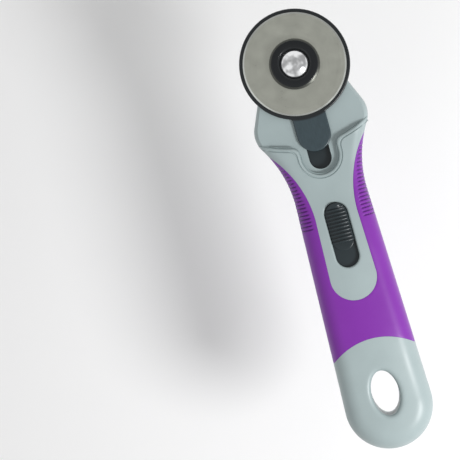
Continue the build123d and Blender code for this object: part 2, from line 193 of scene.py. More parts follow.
@dataclass(frozen=True)
class Finish:
    """A surface finish; subclasses draw its colour, roughness and relief.

    Attributes:
        name: the material's name.
        colour: base colour, linear.
        roughness: mean roughness.
        variation: how much the colour drifts over the surface, 0 to 1.
        grain: size of the fine relief in millimetres.
        relief: height of the fine relief in millimetres.
        deep_share: how much of the colour is left where the painted shade is deepest.
    """

    name: str
    colour: Colour
    roughness: float
    variation: float = 0.06
    grain: float = 0.25
    relief: float = 0.01
    deep_share: ClassVar[float] = 0.3

    def material(self) -> Material:
        """Make the Blender material.

        Returns:
            The material.
        """
        made = bpy.data.materials.new(f"cutter_{self.name}")
        made.use_nodes = True
        made.diffuse_color = self.colour
        graph = Graph(made.node_tree)
        place = graph.add("ShaderNodeTexCoord").outputs["Object"]
        self.dress(graph, made.node_tree.nodes["Principled BSDF"], place)
        return made

    def dress(self, graph: Graph, shader: Node, place: Socket) -> None:
        """Wire the finish into its shader.

        Args:
            graph: the material's tree.
            shader: its Principled BSDF.
            place: Object coordinates.
        """
        raise NotImplementedError

    def noise(self, graph: Graph, place: Socket, size_mm: float, detail: float = 3.0,
              rough: float = 0.55) -> Socket:
        """Noise whose features are about size_mm across, returned as a value."""
        node = graph.add("ShaderNodeTexNoise", {"Vector": place, "Scale": 1 / (size_mm * MM),
                                                "Detail": detail, "Roughness": rough})
        return node.outputs[0]

    def tint(self, graph: Graph, amount: Socket) -> Socket:
        """Drift the base colour by its variation, from darker at 0 to lighter at 1.

        Args:
            graph: the material's tree.
            amount: the value, 0 to 1.

        Returns:
            The colour socket.
        """
        low = tuple(c * (1 - self.variation) for c in self.colour[:3]) + (1.0,)
        high = tuple(min(1.0, c * (1 + self.variation)) for c in self.colour[:3]) + (1.0,)
        return graph.mix(amount, low, high)

    def darkened(self, graph: Graph, base: Socket, attribute: str, amount: float) -> Socket:
        """Darken a colour with painted shade where one of the mesh's own attributes is set.

        Args:
            graph: the material's tree.
            base: the colour.
            attribute: name of the attribute; a piece that lacks it stays as it is.
            amount: how far towards the deep colour, 0 to 1.

        Returns:
            The colour socket.
        """
        mask = graph.add("ShaderNodeAttribute", attribute_name=attribute).outputs["Fac"]
        deep = tuple(c * self.deep_share for c in self.colour[:3]) + (1.0,)
        return graph.mix(graph.times(mask, amount), base, deep)

    def bump(self, graph: Graph, shader: Node, height: Socket) -> None:
        """Drive the shader's normal from a height value."""
        node = graph.add("ShaderNodeBump", {"Height": height, "Distance": self.relief * MM, "Strength": 1.0})
        graph.put(shader, {"Normal": node.outputs[0]})


@dataclass(frozen=True)
class MouldedPlastic(Finish):
    """Injection-moulded plastic: spark-eroded grain over faint flow marks, with painted shade on the walls of
    its openings.

    Attributes:
        specular: strength of the reflection.
        shade: how far the painted shade darkens the openings' walls, 0 to 1.
    """

    specular: float = 0.5
    shade: ClassVar[float] = 0.85

    def dress(self, graph: Graph, shader: Node, place: Socket) -> None:
        """Wire the moulded grain, the flow marks and the painted shade on the openings' walls.

        Args:
            graph: the material's tree.
            shader: its Principled BSDF.
            place: Object coordinates.
        """
        flow = self.noise(graph, place, 14.0, 2.0)
        speck = self.noise(graph, place, self.grain * 3, 4.0)
        base = self.tint(graph, graph.weigh(flow, 0.7, speck))
        rough = graph.remap(flow, 0.3, 0.7, self.roughness * 0.88, self.roughness * 1.12)
        # Painted shade: the colour darkens on the openings' walls, where the shell marks its points.
        graph.put(shader, {"Base Color": self.darkened(graph, base, "opening_shade", self.shade), "Roughness": rough,
                           "Specular IOR Level": self.specular})
        self.bump(graph, shader, self.noise(graph, place, self.grain, 2.0))


@dataclass(frozen=True)
class PaintedLightPlastic(MouldedPlastic):
    """Moulded plastic painted paler, in streaks, past a radius from the blade's axis: painted light.

    Attributes:
        centre: the axis in plan, in metres.
        past: radius where the painted light starts, in millimetres.
        lit_colour: the painted-light colour past the radius.
    """

    centre: Pair = (0.0, 0.0)
    past: float = 0.0
    lit_colour: Colour = (0.1, 0.1, 0.1, 1.0)

    def dress(self, graph: Graph, shader: Node, place: Socket) -> None:
        """Wire the plastic, then the painted light over it, in streaks.

        Args:
            graph: the material's tree.
            shader: its Principled BSDF.
            place: Object coordinates.
        """
        super().dress(graph, shader, place)
        # Painted light: past the radius, on the tongue, the colour turns paler in streaks.
        radius = graph.polar(*graph.plan(place, self.centre))[0]
        zone = graph.remap(radius, (self.past - 0.1) * MM, (self.past + 0.9) * MM, 0.0, 1.0, smooth=True)
        stretched = graph.add("ShaderNodeMapping", {"Vector": place, "Scale": (5.0, 1.0, 1.0)})
        streaks = self.noise(graph, stretched.outputs[0], 3.0, 4.0, 0.7)
        share = graph.times(zone, graph.remap(streaks, 0.3, 0.7, 0.7, 1.0))
        base = shader.inputs["Base Color"].links[0].from_socket
        graph.put(shader, {"Base Color": graph.mix(share, base, self.lit_colour)})


@dataclass(frozen=True)
class SoftRubber(Finish):
    """Soft overmoulded rubber: velvety, with a fine stipple, a faint bloom and painted shade in its grooves."""

    sheen: float = 0.15
    # How far the grooves are darkened as painted shade, 0 to 1.
    groove_shade: float = 0.5

    def dress(self, graph: Graph, shader: Node, place: Socket) -> None:
        """Wire the stipple, the bloom, the soft sheen and the painted shade in the grooves.

        Args:
            graph: the material's tree.
            shader: its Principled BSDF.
            place: Object coordinates.
        """
        bloom = self.noise(graph, place, 9.0, 3.0)
        stipple = self.noise(graph, place, self.grain, 1.0)
        base = self.tint(graph, graph.weigh(bloom, 0.75, stipple))
        rough = graph.remap(bloom, 0.3, 0.7, self.roughness * 0.9, self.roughness * 1.1)
        # Painted shade: darker where the groove tree marked a groove.
        colour = self.darkened(graph, base, "groove", self.groove_shade)
        graph.put(shader, {"Base Color": colour, "Roughness": rough,
                           "Sheen Weight": self.sheen, "Sheen Roughness": 0.4})
        self.bump(graph, shader, stipple)


@dataclass(frozen=True)
class TurnedMetal(Finish):
    """Metal finished on a lathe or grinder: fine rings about an axis, with faint cross scratches.

    Attributes:
        centre: the axis in plan, in metres.
        ring: spacing of the rings in millimetres.
        bright_from: radius in millimetres past which the metal is polished and painted brighter, partly a
            painted highlight, or none.
    """

    centre: Pair = (0.0, 0.0)
    ring: float = 0.18
    bright_from: float | None = None
    bright: Colour = (0.95, 0.95, 0.93, 1.0)

    def dress(self, graph: Graph, shader: Node, place: Socket) -> None:
        """Wire the rings, scratches, tarnish and any bright edge, which is polish and partly a painted
        highlight.

        Args:
            graph: the material's tree.
            shader: its Principled BSDF.
            place: Object coordinates.
        """
        radius, angle = graph.polar(*graph.plan(place, self.centre))
        turned = graph.add("ShaderNodeCombineXYZ", {0: graph.times(radius, 1 / (self.ring * MM)),
                                                    1: graph.times(angle, 1.6)})
        noise = graph.add("ShaderNodeTexNoise", {"Vector": turned.outputs[0], "Scale": 1.0, "Detail": 4.0})
        rings = noise.outputs[0]
        blend = graph.weigh(rings, 0.45, self.noise(graph, place, 5.0, 4.0))
        colour = self.tint(graph, blend)
        rough = graph.remap(blend, 0.35, 0.65, self.roughness * 0.8, self.roughness * 1.2)
        # Bright edge: polished, less rough, and painted brighter as a partly painted highlight.
        if self.bright_from is not None:
            start, blur = self.bright_from * MM, 0.05 * MM
            edge = graph.remap(radius, start - blur, start + blur, 0.0, 1.0)
            colour = graph.mix(edge, colour, self.bright)
            rough = graph.math("SUBTRACT", rough, graph.times(edge, self.roughness * 0.3))
        graph.put(shader, {"Metallic": 1.0, "Base Color": colour, "Roughness": rough})
        self.bump(graph, shader, rings)


@dataclass(frozen=True)
class PlatedMetal(Finish):
    """Plated or polished metal with hairline scratches in no one direction."""

    def dress(self, graph: Graph, shader: Node, place: Socket) -> None:
        """Wire the hairlines and the cloudy plating.

        Args:
            graph: the material's tree.
            shader: its Principled BSDF.
            place: Object coordinates.
        """
        cloud = self.noise(graph, place, 3.0, 3.0)
        turned = graph.add("ShaderNodeMapping",
                           {"Vector": place, "Rotation": (0.3, 0.2, 0.9), "Scale": (8, 1, 1)})
        hairs = self.noise(graph, turned.outputs[0], 0.9, 5.0, 0.7)
        rough = graph.remap(hairs, 0.35, 0.7, self.roughness * 0.7, self.roughness * 1.5)
        graph.put(shader, {"Metallic": 1.0, "Base Color": self.tint(graph, cloud), "Roughness": rough})
        self.bump(graph, shader, hairs)


# ------------------------------------------------------------------ mesh helpers


def new_object(name: str, vertices: Array, faces: Iterable[Sequence[int]], material: Material,
               sharp_deg: float = 35.0) -> Object:
    """Make a smooth-shaded mesh object.

    Args:
        name: the object's name.
        vertices: points in millimetres, in the cutter's frame.
        faces: vertex indices of each face.
        material: its finish.
        sharp_deg: edges sharper than this stay crisp.

    Returns:
        The new object, at the origin.
    """
    mesh = bpy.data.meshes.new(name)
    mesh.from_pydata((np.asarray(vertices) * MM).tolist(), [], [list(map(int, f)) for f in faces])
    mesh.materials.append(material)
    piece = add_object(name, mesh)
    soften(piece, sharp_deg)
    return piece


def add_object(name: str, data: bpy.types.ID | None) -> Object:
    """Put an object into the scene.

    Args:
        name: the object's name.
        data: the mesh, light or camera that it holds.

    Returns:
        The new object.
    """
    made = bpy.data.objects.new(name, data)
    bpy.context.scene.collection.objects.link(made)
    return made


def soften(piece: Object, sharp_deg: float = 35.0) -> None:
    """Shade smooth, with crisp edges past an angle."""
    piece.data.shade_smooth()
    piece.data.set_sharp_from_angle(angle=math.radians(sharp_deg))


def tidy(piece: Object) -> None:
    """Merge doubles and turn the faces outwards.

    Args:
        piece: a closed mesh.
    """
    shell = bmesh.new()
    shell.from_mesh(piece.data)
    bmesh.ops.remove_doubles(shell, verts=shell.verts, dist=1e-7)
    bmesh.ops.recalc_face_normals(shell, faces=shell.faces)
    shell.to_mesh(piece.data)
    shell.free()


def bake(piece: Object) -> Object:
    """Replace an object by the plain mesh that its modifiers make.

    Args:
        piece: the object, which is removed.

    Returns:
        The plain object, of the same name.
    """
    graph = bpy.context.evaluated_depsgraph_get()
    mesh = bpy.data.meshes.new_from_object(piece.evaluated_get(graph))
    name = piece.name
    bpy.data.objects.remove(piece)
    mesh.name = name
    return add_object(name, mesh)


def join(name: str, pieces: Sequence[Object], sharp_deg: float = 35.0) -> Object:
    """Join several closed meshes that share one finish into one piece.

    Args:
        name: the joined piece's name.
        pieces: the objects, which are removed.
        sharp_deg: edges sharper than this stay crisp.

    Returns:
        The joined object.
    """
    whole = bmesh.new()
    for piece in pieces:
        whole.from_mesh(piece.data)
    mesh = bpy.data.meshes.new(name)
    whole.to_mesh(mesh)
    whole.free()
    mesh.materials.append(pieces[0].data.materials[0])
    for piece in pieces:
        bpy.data.objects.remove(piece)
    joined = add_object(name, mesh)
    soften(joined, sharp_deg)
    return joined


def roll(t: Array, radius: float) -> Array:
    """Drop of a quarter-round edge at distance t inside it: the radius at the edge, none past the radius."""
    reach = np.clip(radius - t, 0.0, radius)
    return radius - np.sqrt(radius ** 2 - reach ** 2)


def roll_levels(radius: float, steps: int = 5) -> list[float]:
    """Distances from an edge at which a quarter round needs a line of points."""
    return [radius * (1 - math.cos(math.pi / 2 * i / steps)) for i in range(1, steps + 1)]


def smooth_min(a: Array, b: Array, blend: float) -> Array:
    """Smaller of two values, with the change between them rounded over a blend width."""
    near = np.maximum(blend - np.abs(a - b), 0.0) / blend
    return np.minimum(a, b) - near * near * blend / 4


def oblong(x: Array, s: Array, half: float, start: float, end: float) -> Array:
    """Signed distance from a round-ended slot that runs along the handle."""
    middle = np.clip(s, start + half, end - half)
    return np.hypot(x, s - middle) - half


def disc(x: Array, s: Array, centre_x: float, centre_s: float, radius: float) -> Array:
    """Signed distance from a circle in plan."""
    return np.hypot(x - centre_x, s - centre_s) - radius


def oval(x: Array, s: Array, centre_s: float, half_x: float, half_s: float) -> Array:
    """Near its edge, the signed distance from an ellipse in plan.

    Args:
        x: place across the handle.
        s: station.
        centre_s: station of its centre.
        half_x: half its width.
        half_s: half its length.

    Returns:
        The distance.
    """
    k = np.hypot(x / half_x, (s - centre_s) / half_s)
    slope = np.hypot(x / half_x ** 2, (s - centre_s) / half_s ** 2)
    return k * (k - 1) / np.maximum(slope, 1e-9)


class Contour(NamedTuple):
    """A field and the levels of it that the mesh keeps lines on."""

    field: Field
    levels: Sequence[float]


@dataclass
class Sheet:
    """Triangulates a flat domain along the level lines of its feature fields.

    Attributes:
        low: lowest corner of the domain.
        high: highest corner of the domain.
        inside: true where triangles are kept, tested at their centres.
        contours: the feature lines.
        spacing: distance between filling points.
        cell: grid cell used to find the lines.
        step: spacing of points along a line.
        extra: denser points to keep inside the domain.
        grid_shift: keeps the grid off the straight parts of the fields.
        clearance: share of the spacing that filling points keep from a line.
    """

    low: Pair
    high: Pair
    inside: Field
    contours: list[Contour]
    spacing: float = 1.0
    cell: float = 0.5
    step: float = 0.6
    extra: Array | None = None
    grid_shift: Pair = (0.0137, 0.0071)
    clearance: float = 0.45

    def level_lines(self, contour: Contour, level: float) -> list[Array]:
        """Find the lines where a field equals a level.

        Args:
            contour: the field.
            level: its value on the lines.

        Returns:
            Polylines, evenly stepped, closed ones with their first point repeated.
        """
        columns = np.arange(self.low[0], self.high[0] + self.cell, self.cell)
        rows = np.arange(self.low[1], self.high[1] + self.cell, self.cell)
        a, b = np.meshgrid(columns + self.grid_shift[0], rows + self.grid_shift[1])
        value = contour.field(a, b) - level
        points = np.stack([a, b], -1)
        corners = [(slice(0, -1), slice(0, -1)), (slice(0, -1), slice(1, None)),
                   (slice(1, None), slice(1, None)), (slice(1, None), slice(0, -1))]
        segments = []
        for triangle in ((0, 1, 2), (0, 2, 3)):
            p = [points[corners[i]].reshape(-1, 2) for i in triangle]
            v = [value[corners[i]].reshape(-1) for i in triangle]
            for k in range(3):
                i, j = (k + 1) % 3, (k + 2) % 3
                lone = ((v[k] > 0) != (v[i] > 0)) & ((v[i] > 0) == (v[j] > 0))
                ends = []
                for other in (i, j):
                    share = v[k][lone] / (v[k][lone] - v[other][lone])
                    ends.append(p[k][lone] + share[:, None] * (p[other][lone] - p[k][lone]))
                segments.append(np.stack(ends, 1))
        return [self.settle(contour, level, self.even(line)) for line in chain(np.concatenate(segments))]

    def even(self, line: Array) -> Array:
        """Step a polyline evenly.

        Args:
            line: the polyline.

        Returns:
            The same line in equal steps.
        """
        lengths = np.r_[0, np.cumsum(np.hypot(*np.diff(line, axis=0).T))]
        count = max(3, round(lengths[-1] / self.step))
        at = np.linspace(0, lengths[-1], count + 1)
        return np.stack([np.interp(at, lengths, line[:, k]) for k in (0, 1)], -1)

    def settle(self, contour: Contour, level: float, line: Array) -> Array:
        """Move a line's points onto the exact level.

        Args:
            contour: the field.
            level: its value on the line.
            line: points near the level.

        Returns:
            The points on the level.
        """
        nudge = 1e-3
        for _ in range(4):
            a, b = line[:, 0], line[:, 1]
            value = contour.field(a, b) - level
            slope_a = (contour.field(a + nudge, b) - contour.field(a - nudge, b)) / (2 * nudge)
            slope_b = (contour.field(a, b + nudge) - contour.field(a, b - nudge)) / (2 * nudge)
            steep = np.maximum(slope_a ** 2 + slope_b ** 2, 1e-3)
            shift = np.clip(value / steep, -0.3, 0.3)
            line = line - np.stack([slope_a * shift, slope_b * shift], -1)
        return line

    def triangles(self) -> tuple[Array, Array]:
        """Triangulate the domain.

        Returns:
            The points, and the three point numbers of each kept triangle, all turning the same way.
        """
        points: list[Pair] = []
        edges: list[tuple[int, int]] = []
        for contour in self.contours:
            for level in contour.levels:
                for line in self.level_lines(contour, level):
                    closed = np.hypot(*(line[0] - line[-1])) < 1e-4
                    body = line[:-1] if closed else line
                    first = len(points)
                    points += [tuple(p) for p in body]
                    edges += [(first + i, first + i + 1) for i in range(len(body) - 1)]
                    if closed:
                        edges.append((first + len(body) - 1, first))
        fill = self.filling(points)
        points += [tuple(p) for p in fill]
        made, _, faces, *_ = delaunay_2d_cdt([Vector(p) for p in points], edges, [], 0, 1e-5)
        flat = np.array([(v.x, v.y) for v in made])
        corners = np.array([f for f in faces if len(f) == 3])
        middle = flat[corners].mean(1)
        corners = corners[self.inside(middle[:, 0], middle[:, 1])]
        p, q, r = (flat[corners[:, i]] for i in range(3))
        area = (q[:, 0] - p[:, 0]) * (r[:, 1] - p[:, 1]) - (r[:, 0] - p[:, 0]) * (q[:, 1] - p[:, 1])
        corners = corners[np.abs(area) > 1e-9]
        turned = area[np.abs(area) > 1e-9] < 0
        corners[turned] = corners[turned][:, ::-1]
        used, inverse = np.unique(corners, return_inverse=True)
        return flat[used], inverse.reshape(-1, 3)

    def filling(self, lines: list[Pair]) -> Array:
        """Lattice of points inside the domain, clear of the feature lines.

        Args:
            lines: the points on the feature lines.

        Returns:
            The filling points.
        """
        height = self.spacing * math.sqrt(3) / 2
        rows = np.arange(self.low[1], self.high[1] + height, height)
        columns = np.arange(self.low[0], self.high[0] + self.spacing, self.spacing)
        a, b = np.meshgrid(columns, rows)
        a = a + (np.arange(len(rows)) % 2)[:, None] * self.spacing / 2
        grid = np.stack([a.ravel(), b.ravel()], -1)
        if self.extra is not None:
            grid = np.concatenate([self.extra, grid])
        grid = grid[self.inside(grid[:, 0], grid[:, 1])]
        kept = grid[gaps(grid, lines) > self.clearance * min(self.spacing, 0.9)]
        if self.extra is None:
            return kept
        away = gaps(kept, self.extra)
        return kept[(away < 1e-9) | (away > 0.5 * self.spacing)]


def gaps(points: Array, others: Sequence[Pair]) -> Array:
    """Distance from each point in plan to the nearest of some others.

    Args:
        points: the points.
        others: the points they are measured to.

    Returns:
        One distance for each point.
    """
    tree = KDTree(len(others))
    for i, (a, b) in enumerate(others):
        tree.insert((a, b, 0), i)
    tree.balance()
    return np.array([tree.find((a, b, 0))[2] for a, b in points])


def chain(segments: Array) -> list[Array]:
    """Link loose segments into polylines.

    Args:
        segments: pairs of points.

    Returns:
        Polylines; a closed one repeats its first point.
    """
    links: dict[tuple[int, int], list[int]] = {}
    keys = np.round(segments * 1e6).astype(np.int64)
    for i, (start, end) in enumerate(keys):
        if tuple(start) != tuple(end):
            links.setdefault(tuple(start), []).append(i)
            links.setdefault(tuple(end), []).append(i)
    free = {i for ends in links.values() for i in ends}
    lines = []
    starts = [k for k, ends in links.items() if len(ends) == 1] + list(links)
    for start in starts:
        here, line = start, []
        while True:
            onward = [i for i in links[here] if i in free]
            if not onward:
                break
            i = onward[0]
            free.discard(i)
            near = 0 if tuple(keys[i][0]) == here else 1
            if not line:
                line.append(segments[i][near])
            line.append(segments[i][1 - near])
            here = tuple(keys[i][1 - near])
        if len(line) > 2:
            lines.append(np.array(line))
    return lines


def rim_edges(faces: Array) -> Array:
    """Edges that belong to one triangle only, in that triangle's direction.

    Args:
        faces: triangles.

    Returns:
        Pairs of point numbers.
    """
    edges = np.concatenate([faces[:, [0, 1]], faces[:, [1, 2]], faces[:, [2, 0]]])
    order = np.sort(edges, axis=1)
    _, first, count = np.unique(order, axis=0, return_index=True, return_counts=True)
    return edges[first[count == 1]]


@dataclass
class Slab:
    """A flat moulded piece: an outline in plan, rounded top and bottom edges, any top height.

    Attributes:
        outline: signed distance in plan, negative inside the piece.
        reach: lowest and highest corner of the outline in plan.
        bottom: height of the underside.
        top: height of the top as a function of place.
        top_round: radius of the top edge.
        bottom_round: radius of the bottom edge.
        spacing: distance between filling points.
        step: spacing of points along the outline.
    """

    outline: Field
    reach: tuple[Pair, Pair]
    bottom: float
    top: Field
    top_round: float = 0.4
    bottom_round: float = 0.2
    spacing: float = 2.0
    step: float = 0.6

    def make(self, name: str, material: Material) -> Object:
        """Build the closed mesh.

        Args:
            name: the object's name.
            material: its finish.

        Returns:
            The new object.
        """
        levels = sorted({0.0, *(-t for t in roll_levels(self.top_round)),
                         *(-t for t in roll_levels(self.bottom_round, 3))})
        sheet = Sheet(self.reach[0], self.reach[1], lambda x, s: self.outline(x, s) < 0,
                      [Contour(self.outline, levels)], self.spacing, min(0.5, self.step), self.step)
        flat, faces = sheet.triangles()
        x, s = flat.T
        depth = np.maximum(-self.outline(x, s), 0.0)
        y = BLADE_Y - s
        top = np.stack([x, y, self.top(x, s) - roll(depth, self.top_round)], -1)
        under = np.stack([x, y, self.bottom + roll(depth, self.bottom_round)], -1)
        count = len(flat)
        rim = rim_edges(faces)
        walls = np.stack([rim[:, 1], rim[:, 0], rim[:, 0] + count, rim[:, 1] + count], -1)
        shell = [*faces.tolist(), *(faces[:, ::-1] + count).tolist(), *walls.tolist()]
        piece = new_object(name, np.concatenate([top, under]), shell, material)
        tidy(piece)
        soften(piece)
        return piece


def level(height: float) -> Field:
    """A flat top at one height."""
    return lambda x, s: np.full_like(x, height)


def lathe(name: str, profile: Sequence[Pair], material: Material, segments: int = 128,
          sharp_deg: float = 30.0, centre_y: float = BLADE_Y) -> Object:
    """Turn a closed profile about an upright axis, which is the blade's unless told otherwise.

    Args:
        name: the object's name.
        profile: radius and height of each corner; a point on the axis has radius 0.
        material: its finish.
        segments: faces round the piece.
        sharp_deg: edges sharper than this stay crisp.
        centre_y: the axis.

    Returns:
        The new object.
    """
    angles = np.linspace(0, 2 * math.pi, segments, endpoint=False)
    rings = [np.stack([r * np.cos(angles), centre_y + r * np.sin(angles), np.full(segments, z)], -1)
             for r, z in profile]
    faces = []
    count = len(profile)
    for i in range(count):
        j = (i + 1) % count
        if profile[i][0] == 0 and profile[j][0] == 0:
            continue
        for k in range(segments):
            m = (k + 1) % segments
            faces.append((i * segments + k, i * segments + m, j * segments + m, j * segments + k))
    piece = new_object(name, np.concatenate(rings), faces, material)
    tidy(piece)
    soften(piece, sharp_deg)
    return piece


def rounded(corners: Sequence[Triple], steps: int = 4) -> list[Pair]:
    """Round the corners of a closed profile.

    Args:
        corners: radius, height and rounding of each corner.
        steps: points along each rounding, less one.

    Returns:
        Profile points.
    """
    points = []
    for i, (r, z, rounding) in enumerate(corners):
        here = np.array((r, z))
        before = np.array(corners[i - 1][:2]) - here
        after = np.array(corners[(i + 1) % len(corners)][:2]) - here
        if rounding <= 0:
            points.append((r, z))
            continue
        before, after = before / np.linalg.norm(before), after / np.linalg.norm(after)
        half = math.acos(float(np.clip(before @ after, -1, 1))) / 2
        inset = rounding / math.tan(half)
        start, end = here + before * inset, here + after * inset
        centre = here + (before + after) / np.linalg.norm(before + after) * rounding / math.sin(half)
        a, b = start - centre, end - centre
        sweep = math.acos(float(np.clip(a @ b / rounding ** 2, -1, 1)))
        for k in range(steps + 1):
            t = k / steps
            point = centre + (math.sin((1 - t) * sweep) * a + math.sin(t * sweep) * b) / math.sin(sweep)
            points.append((float(point[0]), float(point[1])))
    return points


def thicken(points: Array, faces: Array, depth: float) -> tuple[Array, Array]:
    """Close a sheet of triangles into a wall by adding its inner face and its rims.

    Args:
        points: the outer face's points.
        faces: its triangles, turning so that they face outwards.
        depth: the wall's thickness.

    Returns:
        Points and triangles of the closed wall.
    """
    normals = np.zeros_like(points)
    p, q, r = (points[faces[:, i]] for i in range(3))
    facing = np.cross(q - p, r - p)
    for i in range(3):
        np.add.at(normals, faces[:, i], facing)
    normals /= np.maximum(np.linalg.norm(normals, axis=1, keepdims=True), 1e-12)
    count = len(points)
    rim = rim_edges(faces)
    walls = quads(np.stack([rim[:, 1], rim[:, 0], rim[:, 0] + count, rim[:, 1] + count], -1))
    return (np.concatenate([points, points - normals * depth]),
            np.concatenate([faces, faces[:, ::-1] + count, walls]))


def paint(piece: Object, name: str, values: Array) -> None:
    """Give a piece a named value at each point."""
    attribute = piece.data.attributes.new(name, "FLOAT", "POINT")
    attribute.data.foreach_set("value", values.astype(np.float32))


def quads(corners: Array) -> Array:
    """Split four-cornered faces into triangles."""
    return np.concatenate([corners[:, [0, 1, 2]], corners[:, [0, 2, 3]]])


# ------------------------------------------------------------------ geometry nodes


class Tree(Graph):
    """A Geometry Nodes tree with named inputs, run once on one object."""

    def __init__(self, name: str, inputs: dict[str, float | int | tuple]) -> None:
        """Start the tree.

        Args:
            name: the tree's name.
            inputs: the value of each named input.
        """
        super().__init__(bpy.data.node_groups.new(name, "GeometryNodeTree"))
        face = self.tree.interface
        face.new_socket("Geometry", in_out="INPUT", socket_type="NodeSocketGeometry")
        self.values = {}
        for label, value in inputs.items():
            kind = {int: "NodeSocketInt", float: "NodeSocketFloat", tuple: "NodeSocketVector"}[type(value)]
            socket = face.new_socket(label, in_out="INPUT", socket_type=kind)
            self.values[socket.identifier] = value
        face.new_socket("Geometry", in_out="OUTPUT", socket_type="NodeSocketGeometry")
        self.source = self.add("NodeGroupInput").outputs
        self.made: Socket | None = None

    def run(self, piece: Object, material: Material) -> Object:
        """Finish the tree, run it on a piece and return the plain mesh.

        Args:
            piece: the object whose mesh goes in.
            material: the finish of the result.

        Returns:
            A new object of the same name.
        """
        real = self.add("GeometryNodeRealizeInstances", {0: self.made})
        dressed = self.add("GeometryNodeSetMaterial", {"Geometry": real.outputs[0], "Material": material})
        self.add("NodeGroupOutput", {0: dressed.outputs[0]})
        modifier = piece.modifiers.new(self.tree.name, "NODES")
        modifier.node_group = self.tree
        for identifier, value in self.values.items():
            modifier[identifier] = value
        plain = bake(piece)
        if not plain.data.materials:
            plain.data.materials.append(material)
        return plain


def groove_tree(first: float, pitch: float, count: int, depth: float, width: float) -> Tree:
    """Build the tree that presses parallel grooves across a surface where its mask attribute is set.

    Args:
        first: station of the first groove.
        pitch: distance from groove to groove.
        count: number of grooves.
        depth: how deep a groove goes.
        width: half a groove's width, as a share of the pitch.

    Returns:
        The tree, which also stores each point's depth share as the attribute groove, used for painted shade in
        the grooves.
    """
    tree = Tree("GripGrooves", {"First": first * MM, "Pitch": pitch * MM, "Count": count, "Depth": depth * MM,
                                "Width": width, "Blade axis": BLADE_Y * MM})
    source = tree.source
    y = tree.plan(tree.add("GeometryNodeInputPosition").outputs[0], (0.0, 0.0))[1]
    station = tree.math("SUBTRACT", source["Blade axis"], y)
    turns = tree.math("DIVIDE", tree.math("SUBTRACT", station, source["First"]), source["Pitch"])
    off = tree.math("SUBTRACT", turns, tree.math("ROUND", turns))
    near = tree.math("DIVIDE", tree.math("ABSOLUTE", off), source["Width"])
    dip = tree.math("SQRT", tree.math("MAXIMUM", tree.math("SUBTRACT", 1.0, tree.times(near, near)), 0.0))
    late = tree.math("LESS_THAN", turns, tree.math("SUBTRACT", source["Count"], 0.5))
    inside = tree.times(tree.math("GREATER_THAN", turns, -0.5), late)
    mask = tree.add("GeometryNodeInputNamedAttribute", {0: "groove_mask"}, data_type="FLOAT").outputs[0]
    share = tree.times(dip, inside, mask)
    normal = tree.add("GeometryNodeInputNormal").outputs[0]
    back = tree.add("ShaderNodeVectorMath", {0: normal, "Scale": tree.times(share, source["Depth"], -1.0)},
                    operation="SCALE")
    moved = tree.add("GeometryNodeSetPosition", {"Geometry": source["Geometry"], "Offset": back.outputs[0]})
    kept = tree.add("GeometryNodeStoreNamedAttribute", {"Geometry": moved.outputs[0], "Name": "groove",
                                                        "Value": share}, data_type="FLOAT", domain="POINT")
    tree.made = kept.outputs[0]
    return tree


def flute_tree(count: int, radius: float, depth: float, width: float) -> Tree:
    """Build the tree that presses flutes into the rim of a round piece on the blade's axis.

    Args:
        count: number of flutes.
        radius: the piece's rim.
        depth: how deep a flute goes.
        width: half a flute's width, as a share of the pitch.

    Returns:
        The tree.
    """
    tree = Tree("NutFlutes", {"Count": count, "Rim radius": radius * MM, "Depth": depth * MM, "Width": width,
                              "Blade axis": BLADE_Y * MM})
    source = tree.source
    x, y = tree.plan(tree.add("GeometryNodeInputPosition").outputs[0], (0.0, source["Blade axis"]))
    reach, angle = tree.polar(x, y)
    share = tree.math("DIVIDE", tree.times(angle, source["Count"]), 2 * math.pi)
    off = tree.math("ABSOLUTE", tree.math("SUBTRACT", share, tree.math("ROUND", share)))
    dip = tree.remap(off, 0.0, source["Width"], 1.0, 0.0, smooth=True)
    rim = tree.math("POWER", tree.math("DIVIDE", reach, source["Rim radius"]), 8.0)
    across, along = (tree.math("DIVIDE", part, reach) for part in (x, y))
    outward = tree.add("ShaderNodeCombineXYZ", {0: across, 1: along})
    shift = tree.times(dip, rim, source["Depth"], -1.0)
    move = tree.add("ShaderNodeVectorMath", {0: outward.outputs[0], "Scale": shift}, operation="SCALE")
    moved = tree.add("GeometryNodeSetPosition", {"Geometry": source["Geometry"], "Offset": move.outputs[0]})
    tree.made = moved.outputs[0]
    return tree


def places_tree(name: str, places: Sequence[Triple]) -> Tree:
    """Build the tree that copies a piece to several places, given in millimetres.

    Args:
        name: the tree's name.
        places: where each copy goes.

    Returns:
        The tree.
    """
    tree = Tree(name, {f"Place {i + 1}": tuple(c * MM for c in place) for i, place in enumerate(places)})
    points = tree.add("GeometryNodeJoinGeometry")
    for i in range(len(places)):
        spot = tree.add("GeometryNodePoints", {"Count": 1, "Position": tree.source[f"Place {i + 1}"]})
        tree.put(points, {0: spot.outputs[0]})
    tree.made = tree.add("GeometryNodeInstanceOnPoints",
                         {"Points": points.outputs[0], "Instance": tree.source["Geometry"]}).outputs[0]
    return tree


# ------------------------------------------------------------------ handle


class Circle(NamedTuple):
    """A circle in plan: its centre and radius."""

    x: float
    s: float
    r: float


def ease(s: Array, start: float, end: float, before: float, after: float) -> Array:
    """Smooth change from one value to another between two stations."""
    t = np.clip((s - start) / (end - start), 0.0, 1.0)
    return before + (after - before) * t * t * (3 - 2 * t)


class Skin(NamedTuple):
    """Points on the handle's outside: place across, station, height and the three parts of the normal."""

    x: Array
    s: Array
    z: Array
    nx: Array
    ns: Array
    nz: Array


